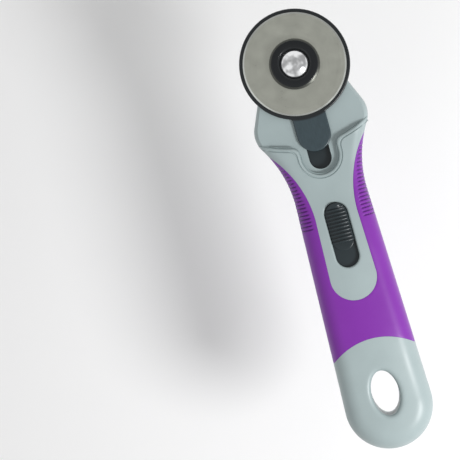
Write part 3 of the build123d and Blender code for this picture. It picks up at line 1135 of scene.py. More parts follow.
@dataclass(frozen=True)
class HandleForm:
    """Outer form of the handle.

    In plan, tangents join arcs at the flare, the shoulder, the waist and the tail. Each half's section is a
    crown arc, a corner arc and an upright side down to the parting plane.
    """

    flare: Circle = Circle(34.5, 0.0, 18.0)
    shoulder: Circle = Circle(14.3, 26.4, 11.0)
    waist_half: float = 16.1
    waist_station: float = 58.8
    tail: float = 154.05
    tail_r: float = 19.25
    parting_z: float = 11.6
    front_heights: Pair = (19.4, 21.4)
    rear_heights: Pair = (8.6, 0.0)
    tail_drop: float = 2.2
    tail_lift: float = 1.2
    front_climb: Pair = (50.0, 86.0)
    rear_climb: Pair = (30.0, 90.0)
    tail_runs: Pair = (34.0, 26.0)
    crown_stations: Pair = (42.0, 84.0)
    corner_stations: Pair = (34.0, 85.0)
    front_corner: Pair = (5.5, 8.5)
    rear_corner: Pair = (2.3, 8.5)
    flat_crown_r: float = 400.0
    front_crown_r: float = 80.0
    rear_crown_r: float = 60.0

    @property
    def waist(self) -> Circle:
        """Hollow arc at the waist, tangent to the shoulder's arc.

        Returns:
            The circle in plan.
        """
        lean, run = self.waist_half - self.shoulder.x, self.waist_station - self.shoulder.s
        radius = (lean ** 2 + run ** 2 - self.shoulder.r ** 2) / (2 * (self.shoulder.r - lean))
        return Circle(self.waist_half + radius, self.waist_station, radius)

    @staticmethod
    def tangent_lean(a: Circle, b: Circle, reach: float) -> float:
        """Lean, from the handle's axis, of the line that touches two circles."""
        dx, ds = b.x - a.x, b.s - a.s
        return math.acos(reach / math.hypot(dx, ds)) - math.atan2(ds, dx)

    def half_width(self, s: Array) -> Array:
        """Half width of the handle at a station.

        Args:
            s: station.

        Returns:
            The half width.
        """
        flare, bulge, waist = self.flare, self.shoulder, self.waist
        end = Circle(0.0, self.tail, self.tail_r)
        flank = self.tangent_lean(flare, bulge, -(flare.r + bulge.r))
        neck = -math.asin((waist.s - bulge.s) / (waist.r + bulge.r))
        grip = self.tangent_lean(waist, end, -(waist.r + end.r))
        turns = [flare.s + flare.r * math.sin(flank), bulge.s - bulge.r * math.sin(flank),
                 bulge.s - bulge.r * math.sin(neck), waist.s + waist.r * math.sin(grip),
                 end.s - end.r * math.sin(grip)]
        arcs = [flare.x - np.sqrt(np.maximum(flare.r ** 2 - (s - flare.s) ** 2, 0)),
                flare.x - flare.r * math.cos(flank) + (s - turns[0]) * math.tan(flank),
                bulge.x + np.sqrt(np.maximum(bulge.r ** 2 - (s - bulge.s) ** 2, 0)),
                waist.x - np.sqrt(np.maximum(waist.r ** 2 - (s - waist.s) ** 2, 0)),
                waist.x - waist.r * math.cos(grip) + (s - turns[3]) * math.tan(grip)]
        return np.select([s <= t for t in turns], arcs, np.sqrt(np.maximum(end.r ** 2 - (s - end.s) ** 2, 0)))

    def crown(self, side: Side, s: Array) -> Array:
        """Height of the middle of the front or the back at a station.

        Args:
            side: front or rear half.
            s: station.

        Returns:
            The height.
        """
        if side is Side.FRONT:
            drop = ease(s, self.tail - self.tail_runs[0], self.tail, 0, self.tail_drop)
            return ease(s, *self.front_climb, *self.front_heights) - drop
        lift = ease(s, self.tail - self.tail_runs[1], self.tail, 0, self.tail_lift)
        return ease(s, *self.rear_climb, *self.rear_heights) + lift

    def arcs(self, side: Side, s: Array) -> tuple[Array, ...]:
        """Section at a station.

        Args:
            side: front or rear half.
            s: station.

        Returns:
            Crown radius, corner radius, corner's centre across and in height, lean where crown meets corner.
        """
        front = side is Side.FRONT
        grip_crown_r = self.front_crown_r if front else self.rear_crown_r
        crown_r = 1 / ease(s, *self.crown_stations, 1 / self.flat_crown_r, 1 / grip_crown_r)
        corner_r = ease(s, *self.corner_stations, *(self.front_corner if front else self.rear_corner))
        corner_x = self.half_width(s) - corner_r
        lean = np.arcsin(np.clip(corner_x / (crown_r - corner_r), -1, 1))
        corner_z = self.crown(side, s) - side.value * (crown_r - (crown_r - corner_r) * np.cos(lean))
        return crown_r, corner_r, corner_x, corner_z, lean

    def girth(self, side: Side, b: Array) -> Array:
        """Arc length of the section from the middle to the parting plane."""
        crown_r, corner_r, _, corner_z, lean = self.arcs(side, np.clip(b, 0.0, self.tail))
        return crown_r * lean + corner_r * (math.pi / 2 - lean) + np.abs(corner_z - self.parting_z)

    def depth(self, side: Side, a: Array, b: Array) -> Array:
        """Arc length left between an unrolled point and the parting plane."""
        beyond = b - np.clip(b, 0.0, self.tail)
        return self.girth(side, b) - np.hypot(a, beyond)

    def skin(self, side: Side, a: Array, b: Array) -> Skin:
        """Roll a flat point onto the handle.

        Args:
            side: front or rear half.
            a: arc length across the handle from its middle.
            b: station; past either end, the section turns about the end's centre.

        Returns:
            The place and its outward normal.
        """
        core = np.clip(b, 0.0, self.tail)
        reach = np.hypot(a, b - core)
        safe = np.maximum(reach, 1e-9)
        across, along = np.where(reach < 1e-9, 1.0, a / safe), (b - core) / safe
        crown_r, corner_r, corner_x, corner_z, lean = self.arcs(side, core)
        first, second = crown_r * lean, corner_r * (math.pi / 2 - lean)
        turn = np.where(reach < first, reach / crown_r, lean + (reach - first) / corner_r)
        turn = np.minimum(turn, math.pi / 2)
        on_crown = reach < first
        x = np.where(on_crown, crown_r * np.sin(turn), corner_x + corner_r * np.sin(turn))
        z = np.where(on_crown, self.crown(side, core) - side.value * crown_r * (1 - np.cos(turn)),
                     corner_z + side.value * corner_r * np.cos(turn))
        z = z - side.value * np.maximum(reach - first - second, 0.0)
        return Skin(x * across, core + x * along, z, np.sin(turn) * across, np.sin(turn) * along,
                    side.value * np.cos(turn))


def sunk(skin: Skin, inset: Array, z: Array) -> Array:
    """Points of the skin, moved inwards from the given heights, in the cutter's frame."""
    return np.stack([skin.x - skin.nx * inset, BLADE_Y - (skin.s - skin.ns * inset), z - skin.nz * inset], -1)


class Opening(NamedTuple):
    """A hole through one half of the handle.

    Attributes:
        field: signed distance in plan, negative in the hole.
        rounding: radius of its edge.
        wall_z: height that its wall reaches.
        floor: for a blind seat, the centre and radius of the smaller hole in its floor.
    """

    field: Field
    rounding: float
    wall_z: float
    floor: Circle | None = None


@dataclass
class HandleAssembly:
    """Handle: two hard shells, the soft grips moulded over them, and the screws that hold them together.

    Attributes:
        form: the plain outer form.
        wall: thickness of the shells.
        skin_t: thickness of the grips, which fill recesses in the shells.
        parting_chamfer: rounding along the parting line.
        seam: depth of the line round a grip.
        grip_drop: run over which a shell falls to the bottom of the grip's recess.
        seam_drop: run over which the seam's line falls.
        grip_round: rounding of a grip's edge.
        pad_z: height of the head's flat seat.
        bay_half: half width of the bay behind the seat, which reaches the station bay_end.
        step_apex: station of the seat's arc, whose radius is step_r.
        bay_corner: blend between the seat's arc and the bay.
        bay_draft: half the run of the step's wall.
        bay_foot: hollow rounding at the step's foot; bay_round rounds its top.
        bead_offset: distance of the pressed line from the step, with its half width, depth and fading height.
        rim_blend: blend where the seat runs out of the crown.
        window: half width, start and end of the button's window.
        slot: half width, start and end of the tongue's slot.
        hole: station, half width and half length of the hanging hole.
        panel_waist: half width of the plain panel at panel_station, hollowed by the radius panel_side_r.
        panel_ends: stations of the round ends of the front and rear panels.
        grip_end: circle that ends the grips towards the tail.
        groove_width: half a groove's width, as a share of the pitch.
        groove_margin: plain edge beside the first groove and beside the last.
        groove_rows: rows of points for each groove.
        screws: place across, station and seat height of each screw.
    """

    form: HandleForm = field(default_factory=HandleForm)
    wall: float = 1.9
    skin_t: float = 1.5
    parting_chamfer: float = 0.2
    seam: float = 0.1
    grip_drop: float = 0.12
    seam_drop: float = 0.04
    grip_round: float = 0.2
    pad_z: float = 16.5
    bay_half: float = 8.2
    bay_end: float = 49.2
    step_apex: float = 36.1
    step_r: float = 50.5
    bay_corner: float = 3.0
    bay_draft: float = 0.12
    bay_foot: float = 0.4
    bay_round: float = 0.9
    bead_offset: float = 1.55
    bead_half: float = 0.35
    bead_depth: float = 0.5
    bead_fade: float = 0.6
    rim_blend: float = 0.9
    window: Triple = (5.1, 62.3, 91.1)
    window_round: float = 0.9
    window_wall: float = 2.0
    slot: Triple = (4.9, 27.5, 46.9)
    slot_floor: float = 14.7
    hole: Triple = (148.0, 6.0, 10.0)
    hole_round: float = 2.0
    panel_waist: float = 9.3
    panel_side_r: float = 48.0
    panel_station: float = 68.0
    panel_end_half: float = 10.2
    panel_ends: Pair = (95.5, 78.0)
    grip_end: Circle = Circle(0.0, 151.2, 27.9)
    groove_first: float = 41.6
    groove_pitch: float = 1.64
    groove_count: int = 19
    groove_depth: float = 0.65
    groove_width: float = 0.25
    groove_margin: Pair = (0.7, 2.2)
    groove_rows: int = 8
    screws: tuple[Triple, ...] = ((17.5, 23.5, 10.3), (-17.5, 23.5, 10.3), (0.0, 129.2, 7.0))
    screw_tip: float = 15.1
    screw_r: float = 1.3
    screw_head_r: float = 2.5
    screw_head_h: float = 1.5
    screw_gap: float = 0.3

    # -------- plan shapes

    def plan(self, side: Side, shape: Field) -> Field:
        """Turn a shape in plan into one on the unrolled half.

        Args:
            side: front or rear half.
            shape: field in plan.

        Returns:
            The same field over the unrolled half.
        """
        def unrolled(a: Array, b: Array) -> Array:
            """The shape's value at an unrolled point."""
            skin = self.form.skin(side, a, b)
            return shape(skin.x, skin.s)
        return unrolled

    def bay(self, x: Array, s: Array) -> Array:
        """Signed distance from the head's flat seat and the bay behind it, negative inside.

        Args:
            x: place across the handle.
            s: station.

        Returns:
            The distance.
        """
        slot = oblong(x, s, self.bay_half, -self.bay_half, self.bay_end)
        seat = disc(x, s, 0.0, self.step_apex - self.step_r, self.step_r)
        return smooth_min(slot, seat, self.bay_corner)

    def grip_edge(self, side: Side) -> Field:
        """Field in plan that is positive, and grows with distance from the edge, inside the grip.

        Args:
            side: front or rear half.

        Returns:
            The field.
        """
        end = self.panel_ends[0 if side is Side.FRONT else 1]

        def inside(x: Array, s: Array) -> Array:
            """Distance inside the grip.

            Args:
                x: place across the handle.
                s: station.

            Returns:
                The distance.
            """
            far = np.abs(x)
            flank = self.panel_side_r - np.hypot(far - self.panel_waist - self.panel_side_r,
                                                 s - self.panel_station)
            lean = (self.panel_end_half - self.panel_waist) / (end - self.panel_station)
            middle = far - self.panel_waist - lean * (s - self.panel_station)
            cap = np.hypot(x, s - end) - self.panel_end_half
            panel = np.where(s < self.panel_station, flank, np.where(s < end, middle, cap))
            tail = np.hypot(x - self.grip_end.x, s - self.grip_end.s) - self.grip_end.r
            return np.minimum(panel, tail)
        return inside

    def openings(self, side: Side) -> list[Opening]:
        """Holes through one half.

        Args:
            side: front or rear half.

        Returns:
            The openings.
        """
        station, half_x, half_s = self.hole
        holes = [Opening(lambda x, s: oval(x, s, station, half_x, half_s), self.hole_round,
                         self.form.parting_z)]
        if side is Side.FRONT:
            wall_z = float(self.form.crown(side, np.array(self.window[1] + 4.0))) - self.window_wall
            holes.append(Opening(lambda x, s: oblong(x, s, *self.window), self.window_round, wall_z))
            holes.append(Opening(lambda x, s: oblong(x, s, *self.slot), 0.3, self.slot_floor))
        else:
            radius = self.screw_head_r + self.screw_gap
            for x0, s0, seat in self.screws:
                holes.append(Opening(lambda x, s, x0=x0, s0=s0: disc(x, s, x0, s0, radius), 0.3, seat,
                                     Circle(x0, s0, self.screw_r)))
        return holes

    # -------- building

    def heights(self, side: Side, skin: Skin, holes: list[Opening]) -> Array:
        """Height of the shell at points whose place in plan is settled.

        Args:
            side: front or rear half.
            skin: the points on the plain form.
            holes: the half's openings.

        Returns:
            The height of each point.
        """
        z = skin.z
        for hole in holes:
            z = z - side.value * roll(np.maximum(hole.field(skin.x, skin.s), 0.0), hole.rounding)
        if side is Side.REAR:
            return z
        away = self.bay(skin.x, skin.s)
        top = z - roll(np.maximum(away - self.bay_draft, 0.0), self.bay_round)
        bead = np.clip(1 - ((away - self.bead_offset) / self.bead_half) ** 2, 0.0, 1.0)
        top = top - self.bead_depth * np.sqrt(bead) * np.clip(z - self.pad_z - self.bead_fade, 0.0, 1.0)
        flat = smooth_min(z, np.full_like(z, self.pad_z), self.rim_blend)
        foot = np.clip(away + self.bay_draft + self.bay_foot, 0.0, self.bay_foot)
        flat = flat + self.bay_foot - np.sqrt(self.bay_foot ** 2 - foot ** 2)
        share = np.clip((away + self.bay_draft) / (2 * self.bay_draft), 0.0, 1.0)
        climb = np.minimum(top, flat + share * (top - flat))
        return np.where(away <= -self.bay_draft, np.minimum(flat, top), climb)

    def feature_lines(self, side: Side, holes: list[Opening]) -> list[Contour]:
        """Lines the shell's mesh follows.

        Args:
            side: front or rear half.
            holes: the half's openings.

        Returns:
            The contours.
        """
        edge = self.plan(side, self.grip_edge(side))
        lines = [Contour(lambda a, b: self.form.depth(side, a, b), [0.0, 0.06, self.parting_chamfer]),
                 Contour(edge, [-self.seam_drop, 0.0, self.grip_drop, 0.5])]
        for hole in holes:
            lines.append(Contour(self.plan(side, hole.field), [0.0, *roll_levels(hole.rounding)]))
        if side is Side.FRONT:
            draft, bead = self.bay_draft, self.bead_half
            foot = [-draft - self.bay_foot * k for k in (0.0, 0.3, 0.6, 1.0)]
            crest = [draft + t for t in roll_levels(self.bay_round)]
            groove = [self.bead_offset + bead * k for k in (-1.0, -0.8, -0.4, 0.0, 0.4, 0.8, 1.0)]
            lines.append(Contour(self.plan(side, self.bay), [*foot, draft, *crest, *groove]))
            lines.append(Contour(lambda a, b: self.form.skin(side, a, b).z - self.pad_z,
                                 [k * self.rim_blend for k in (-1, -0.5, 0, 0.5, 1)]))
        return lines

    def domain(self, side: Side) -> tuple[Pair, Pair]:
        """Corners of the unrolled half.

        Args:
            side: front or rear half.

        Returns:
            Lowest and highest corner.
        """
        widest = float(self.form.girth(side, np.linspace(0, self.form.tail, 300)).max()) + 1.5
        head, tail = (float(self.form.girth(side, np.array(b))) + 1.5 for b in (0.0, self.form.tail))
        return (-widest, -head), (widest, self.form.tail + tail)

    def shell(self, side: Side, material: Material) -> Object:
        """Build one hard shell.

        Args:
            side: front or rear half.
            material: its finish.

        Returns:
            The new object.
        """
        form, holes = self.form, self.openings(side)
        low, high = self.domain(side)

        def kept(a: Array, b: Array) -> Array:
            """True where the shell has material.

            Args:
                a: arc length across.
                b: station.

            Returns:
                One truth value for each point.
            """
            skin = form.skin(side, a, b)
            solid = form.depth(side, a, b) > 0
            for hole in holes:
                solid &= hole.field(skin.x, skin.s) > 0
            return solid

        sheet = Sheet(low, high, kept, self.feature_lines(side, holes), spacing=1.15)
        flat, faces = sheet.triangles()
        skin = form.skin(side, *flat.T)
        under = self.grip_edge(side)(skin.x, skin.s)
        recess = self.skin_t * np.clip(under / self.grip_drop, 0.0, 1.0)
        inset = np.minimum(recess + self.seam * np.clip(1 + under / self.seam_drop, 0.0, 1.0), self.skin_t)
        inset = inset + np.where(under < 0, roll(form.depth(side, *flat.T), self.parting_chamfer), 0.0)
        points = sunk(skin, inset, self.heights(side, skin, holes))
        faces = faces[:, ::-1] if side is Side.FRONT else faces
        points, faces = self.line_openings(skin, points, faces, holes)
        # Painted shade: the points of the openings' walls are marked 1 for the material to darken.
        shaded = np.zeros(2 * len(points))
        shaded[len(flat):len(points)] = 1.0
        piece = new_object(f"{side.name.lower()}_shell", *thicken(points, faces, self.wall), material)
        paint(piece, "opening_shade", shaded)
        return piece

    def line_openings(self, skin: Skin, points: Array, faces: Array,
                      holes: list[Opening]) -> tuple[Array, Array]:
        """Carry the walls of each opening into the shell, with a floor in the blind ones.

        Args:
            skin: the sheet's points on the plain form.
            points: the sheet's points.
            faces: its triangles.
            holes: the half's openings.

        Returns:
            Points and triangles with the walls added.
        """
        rim = rim_edges(faces)
        for hole in holes:
            edge = np.abs(hole.field(skin.x, skin.s)) < 2e-3
            loop = rim[edge[rim[:, 0]] & edge[rim[:, 1]]]
            ring = np.unique(loop)
            rows = [points[ring] * (1, 1, 0) + (0, 0, hole.wall_z)]
            if hole.floor:
                centre = np.array((hole.floor.x, BLADE_Y - hole.floor.s, hole.wall_z))
                spoke = rows[0] - centre
                rows.append(centre + spoke * hole.floor.r / np.linalg.norm(spoke, axis=1, keepdims=True))
            above = loop
            for row in rows:
                below = np.searchsorted(ring, loop) + len(points)
                faces = np.concatenate([faces, quads(np.stack([above[:, 1], above[:, 0],
                                                               below[:, 0], below[:, 1]], -1))])
                points = np.concatenate([points, row])
                above = below
        return points, faces

    def grip(self, side: Side, material: Material) -> Object:
        """Build one soft grip, with its grooves.

        Args:
            side: front or rear half.
            material: its finish.

        Returns:
            The new object.
        """
        form, edge = self.form, self.plan(side, self.grip_edge(side))
        low, high = self.domain(side)

        def kept(a: Array, b: Array) -> Array:
            """True where the grip has material."""
            return (form.depth(side, a, b) > 0) & (edge(a, b) > 0)

        last = self.groove_first + self.groove_pitch * self.groove_count
        rows = np.arange(self.groove_first - self.groove_pitch, last, self.groove_pitch / self.groove_rows)
        columns = np.arange(self.panel_waist + 1, high[0], 0.8)
        a, b = np.meshgrid(np.concatenate([-columns[::-1], columns]), rows)
        dense = np.stack([a.ravel(), b.ravel()], -1)
        dense = dense[kept(dense[:, 0], dense[:, 1])]
        lines = [Contour(lambda a, b: form.depth(side, a, b), [0.0, 0.06, self.parting_chamfer]),
                 Contour(edge, [0.0, 0.06, self.grip_round])]
        sheet = Sheet((low[0], 30.0), high, kept, lines, spacing=1.15, extra=dense)
        flat, faces = sheet.triangles()
        skin = form.skin(side, *flat.T)
        inside = np.maximum(edge(*flat.T), 0.0)
        inset = roll(inside, self.grip_round) * 0.6 + roll(form.depth(side, *flat.T), self.parting_chamfer)
        points = sunk(skin, inset, skin.z)
        faces = faces[:, ::-1] if side is Side.FRONT else faces
        margin = ease(skin.s, self.groove_first, self.groove_first + 18, *self.groove_margin)
        mask = np.clip((inside - margin + 0.2) / 0.5, 0.0, 1.0)
        mask *= np.clip(form.depth(side, *flat.T) / 0.6, 0.0, 1.0)
        points, faces = thicken(points, faces, self.skin_t - self.seam)
        piece = new_object(f"{side.name.lower()}_grip", points, faces, material, 50)
        paint(piece, "groove_mask", np.concatenate([mask, np.zeros(len(mask))]))
        tree = groove_tree(self.groove_first, self.groove_pitch, self.groove_count, self.groove_depth,
                           self.groove_width)
        return tree.run(piece, material)

    def screw_set(self, material: Material) -> Object:
        """Build the three screws that join the shells.

        Args:
            material: its finish.

        Returns:
            The new object.
        """
        tool = ScrewMaker(self.screw_r, self.screw_head_r, self.screw_head_h)
        return tool.copies("shell_screws", [(x, BLADE_Y - s, seat) for x, s, seat in self.screws],
                           self.screw_tip - self.screws[0][2], material)

    def build(self, finishes: Finishes) -> None:
        """Build and dress the whole handle.

        Args:
            finishes: the material of each slot.
        """
        for side in Side:
            name = side.name.lower()
            place(self.shell(side, finishes[Slot.HANDLE]), "handle", Slot.HANDLE, f"{name}_shell")
            place(self.grip(side, finishes[Slot.GRIP]), "handle", Slot.GRIP, f"{name}_grip")
        place(self.screw_set(finishes[Slot.SCREW]), "handle", Slot.SCREW, "shell_screws")


@dataclass
class ScrewMaker:
    """Pan-head screw with a cross recess, driven upwards."""

    radius: float
    head_r: float
    head_h: float
    recess: float = 0.6
    cross_share: float = 0.62
    cross_half: float = 0.3
    segments: int = 48

    def one(self, length: float, material: Material) -> Object:
        """Build one screw whose head seats at the origin.

        Args:
            length: from the seat to the tip.
            material: its finish.

        Returns:
            The new object.
        """
        drop = -self.head_h
        profile = rounded([(0, drop, 0), (self.head_r, drop, 0.45), (self.head_r, 0, 0.1), (self.radius, 0, 0),
                           (self.radius, length - 1.2, 0), (0.25, length, 0), (0, length, 0)])
        body = lathe("screw", profile, material, self.segments, centre_y=0.0)
        arm, half = self.head_r * self.cross_share, self.cross_half
        cutters = []
        for across, along in ((arm, half), (half, arm)):
            corners = [(sx * across, sy * along, z) for z in (drop - 0.5, drop + self.recess)
                       for sx, sy in ((-1, -1), (1, -1), (1, 1), (-1, 1))]
            sides = [(0, 3, 2, 1), (4, 5, 6, 7), (0, 1, 5, 4), (1, 2, 6, 5), (2, 3, 7, 6), (3, 0, 4, 7)]
            cutters.append(new_object("recess", np.array(corners), sides, material))
        for cutter in cutters:
            cut = body.modifiers.new("recess", "BOOLEAN")
            cut.operation, cut.object, cut.solver = "DIFFERENCE", cutter, "EXACT"
        body = bake(body)
        for cutter in cutters:
            bpy.data.objects.remove(cutter)
        return body

    def copies(self, name: str, places: Sequence[Triple], length: float,
               material: Material) -> Object:
        """Build several screws as one piece.

        Args:
            name: the piece's name.
            places: where each head seats.
            length: from the seat to the tip.
            material: its finish.

        Returns:
            The new object.
        """
        piece = self.one(length, material)
        piece.name = name
        tree = places_tree(f"{name}_places", places)
        made = tree.run(piece, material)
        soften(made, 30)
        return made


def place(piece: Object, body: str, slot: Slot, *nodes: str) -> None:
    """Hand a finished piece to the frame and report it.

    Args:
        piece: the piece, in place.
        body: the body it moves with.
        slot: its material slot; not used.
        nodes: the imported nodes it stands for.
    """
    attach(piece, body)
    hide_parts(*nodes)
    log.info("%s: %d faces, body %s", piece.name, len(piece.data.polygons), body)


# ------------------------------------------------------------------ blade end


@dataclass
class BladeAssembly:
    """The round blade, the ring that clamps it and the domed bolt."""

    blade_r: float = 22.5
    bore_r: float = 4.0
    bevel: float = 0.65
    blade_z: float = 18.2
    blade_t: float = 0.3
    ring_r: Pair = (11.2, 10.1)
    ring_z: Pair = (18.6, 21.8)
    mouth_r: float = 7.25
    seat_r: float = 6.55
    seat_z: float = 19.9
    pin_r: float = 3.95
    pad_z: float = 16.5
    dome_r: float = 6.3
    dome_rim: float = 0.7
    dome_top: float = 22.9
    square_half: float = 2.75
    square_low: float = 9.0
    thread_r: float = 2.44
    thread_low: float = 1.6
    thread_pitch: float = 0.8
    thread_depth: float = 0.3
    thread_ridge: float = 0.28

    def blade(self, material: Material) -> Object:
        """Build the blade: a flat disc ground to an edge from both faces.

        Args:
            material: its finish.

        Returns:
            The new object.
        """
        low, high = self.blade_z, self.blade_z + self.blade_t
        middle = (low + high) / 2
        flat_r = self.blade_r - self.bevel
        profile = [(self.bore_r, low), (flat_r - 6, low), (flat_r, low), (self.blade_r, middle - 0.006),
                   (self.blade_r, middle + 0.006), (flat_r, high), (flat_r - 6, high), (self.bore_r, high)]
        return lathe("blade", profile, material, 256, 4)

    def ring(self, material: Material) -> Object:
        """Build the coned clamping ring with its counterbore.

        Args:
            material: its finish.

        Returns:
            The new object.
        """
        low, high = self.ring_z
        profile = rounded([(self.pin_r, low, 0), (self.ring_r[0], low, 0.35), (self.ring_r[1], high, 0.45),
                           (self.mouth_r, high, 0.2), (self.seat_r, high - 0.9, 0.15),
                           (self.seat_r, self.seat_z, 0.1), (self.pin_r, self.seat_z, 0)], 6)
        return lathe("blade_washer", profile, material, 160)

    def bolt(self, material: Material) -> Object:
        """Build the bolt: domed head, round shoulder, square neck and thread.

        Args:
            material: its finish.

        Returns:
            The new object.
        """
        rim_z = self.seat_z + self.dome_rim
        rise = self.dome_top - rim_z
        ball = (self.dome_r ** 2 + rise ** 2) / (2 * rise)
        sweep = math.asin(self.dome_r / ball)
        arc = [(ball * math.sin(sweep * k / 16), self.dome_top - ball * (1 - math.cos(sweep * k / 16)))
               for k in range(15, -1, -1)]
        side = rounded([(self.pin_r, self.pad_z, 0.15), (self.pin_r, self.seat_z, 0),
                        (self.dome_r, self.seat_z, 0.15), (self.dome_r, rim_z, 0)])
        profile = [(0.0, self.pad_z), *side[:-1],
                   (self.dome_r, rim_z - 0.1), (self.dome_r - 0.03, rim_z), *arc]
        head = lathe("bolt_head", profile, material, 128)
        half = self.square_half
        neck = Slab(lambda x, s: np.maximum(np.abs(x), np.abs(s)) - half, ((-3.5, -3.5), (3.5, 3.5)),
                    self.square_low, level(self.pad_z + 0.2), 0.15, 0.3, 1.2, 0.5)
        core_r = self.thread_r - self.thread_depth
        core = lathe("bolt_core", rounded([(0, self.thread_low, 0), (core_r, self.thread_low, 0.4),
                                           (core_r, self.square_low + 0.2, 0), (0, self.square_low + 0.2, 0)]),
                     material, 48)
        return join("blade_bolt", [head, neck.make("bolt_neck", material), core, self.thread(material)])

    def thread(self, material: Material) -> Object:
        """Build the thread's ridge along a helix.

        Args:
            material: its finish.

        Returns:
            The new object.
        """
        length = self.square_low - self.thread_low - 1.2
        tree = Tree("BoltThread", {"Turns": length / self.thread_pitch,
                                   "Radius": (self.thread_r - self.thread_ridge) * MM,
                                   "Length": length * MM, "Ridge": self.thread_ridge * MM,
                                   "Start": (0.0, BLADE_Y * MM, (self.thread_low + 0.6) * MM)})
        source = tree.source
        path = tree.add("GeometryNodeCurveSpiral", {"Resolution": 32, "Rotations": source["Turns"],
                                                    "Start Radius": source["Radius"],
                                                    "End Radius": source["Radius"], "Height": source["Length"]})
        ridge = tree.add("GeometryNodeCurvePrimitiveCircle", {"Resolution": 6, "Radius": source["Ridge"]})
        swept = tree.add("GeometryNodeCurveToMesh",
                         {0: path.outputs[0], 1: ridge.outputs[0], "Fill Caps": True})
        made = tree.add("GeometryNodeTransform", {"Geometry": swept.outputs[0], "Translation": source["Start"]})
        blank = add_object("bolt_thread", bpy.data.meshes.new("bolt_thread"))
        tree.made = made.outputs[0]
        return tree.run(blank, material)

    def build(self, finishes: Finishes) -> None:
        """Build and dress the blade end.

        Args:
            finishes: the material of each slot.
        """
        place(self.blade(finishes[Slot.BLADE]), "blade", Slot.BLADE, "blade")
        place(self.ring(finishes[Slot.WASHER]), "handle", Slot.WASHER, "blade_washer")
        place(self.bolt(finishes[Slot.BOLT]), "handle", Slot.BOLT, "blade_bolt")


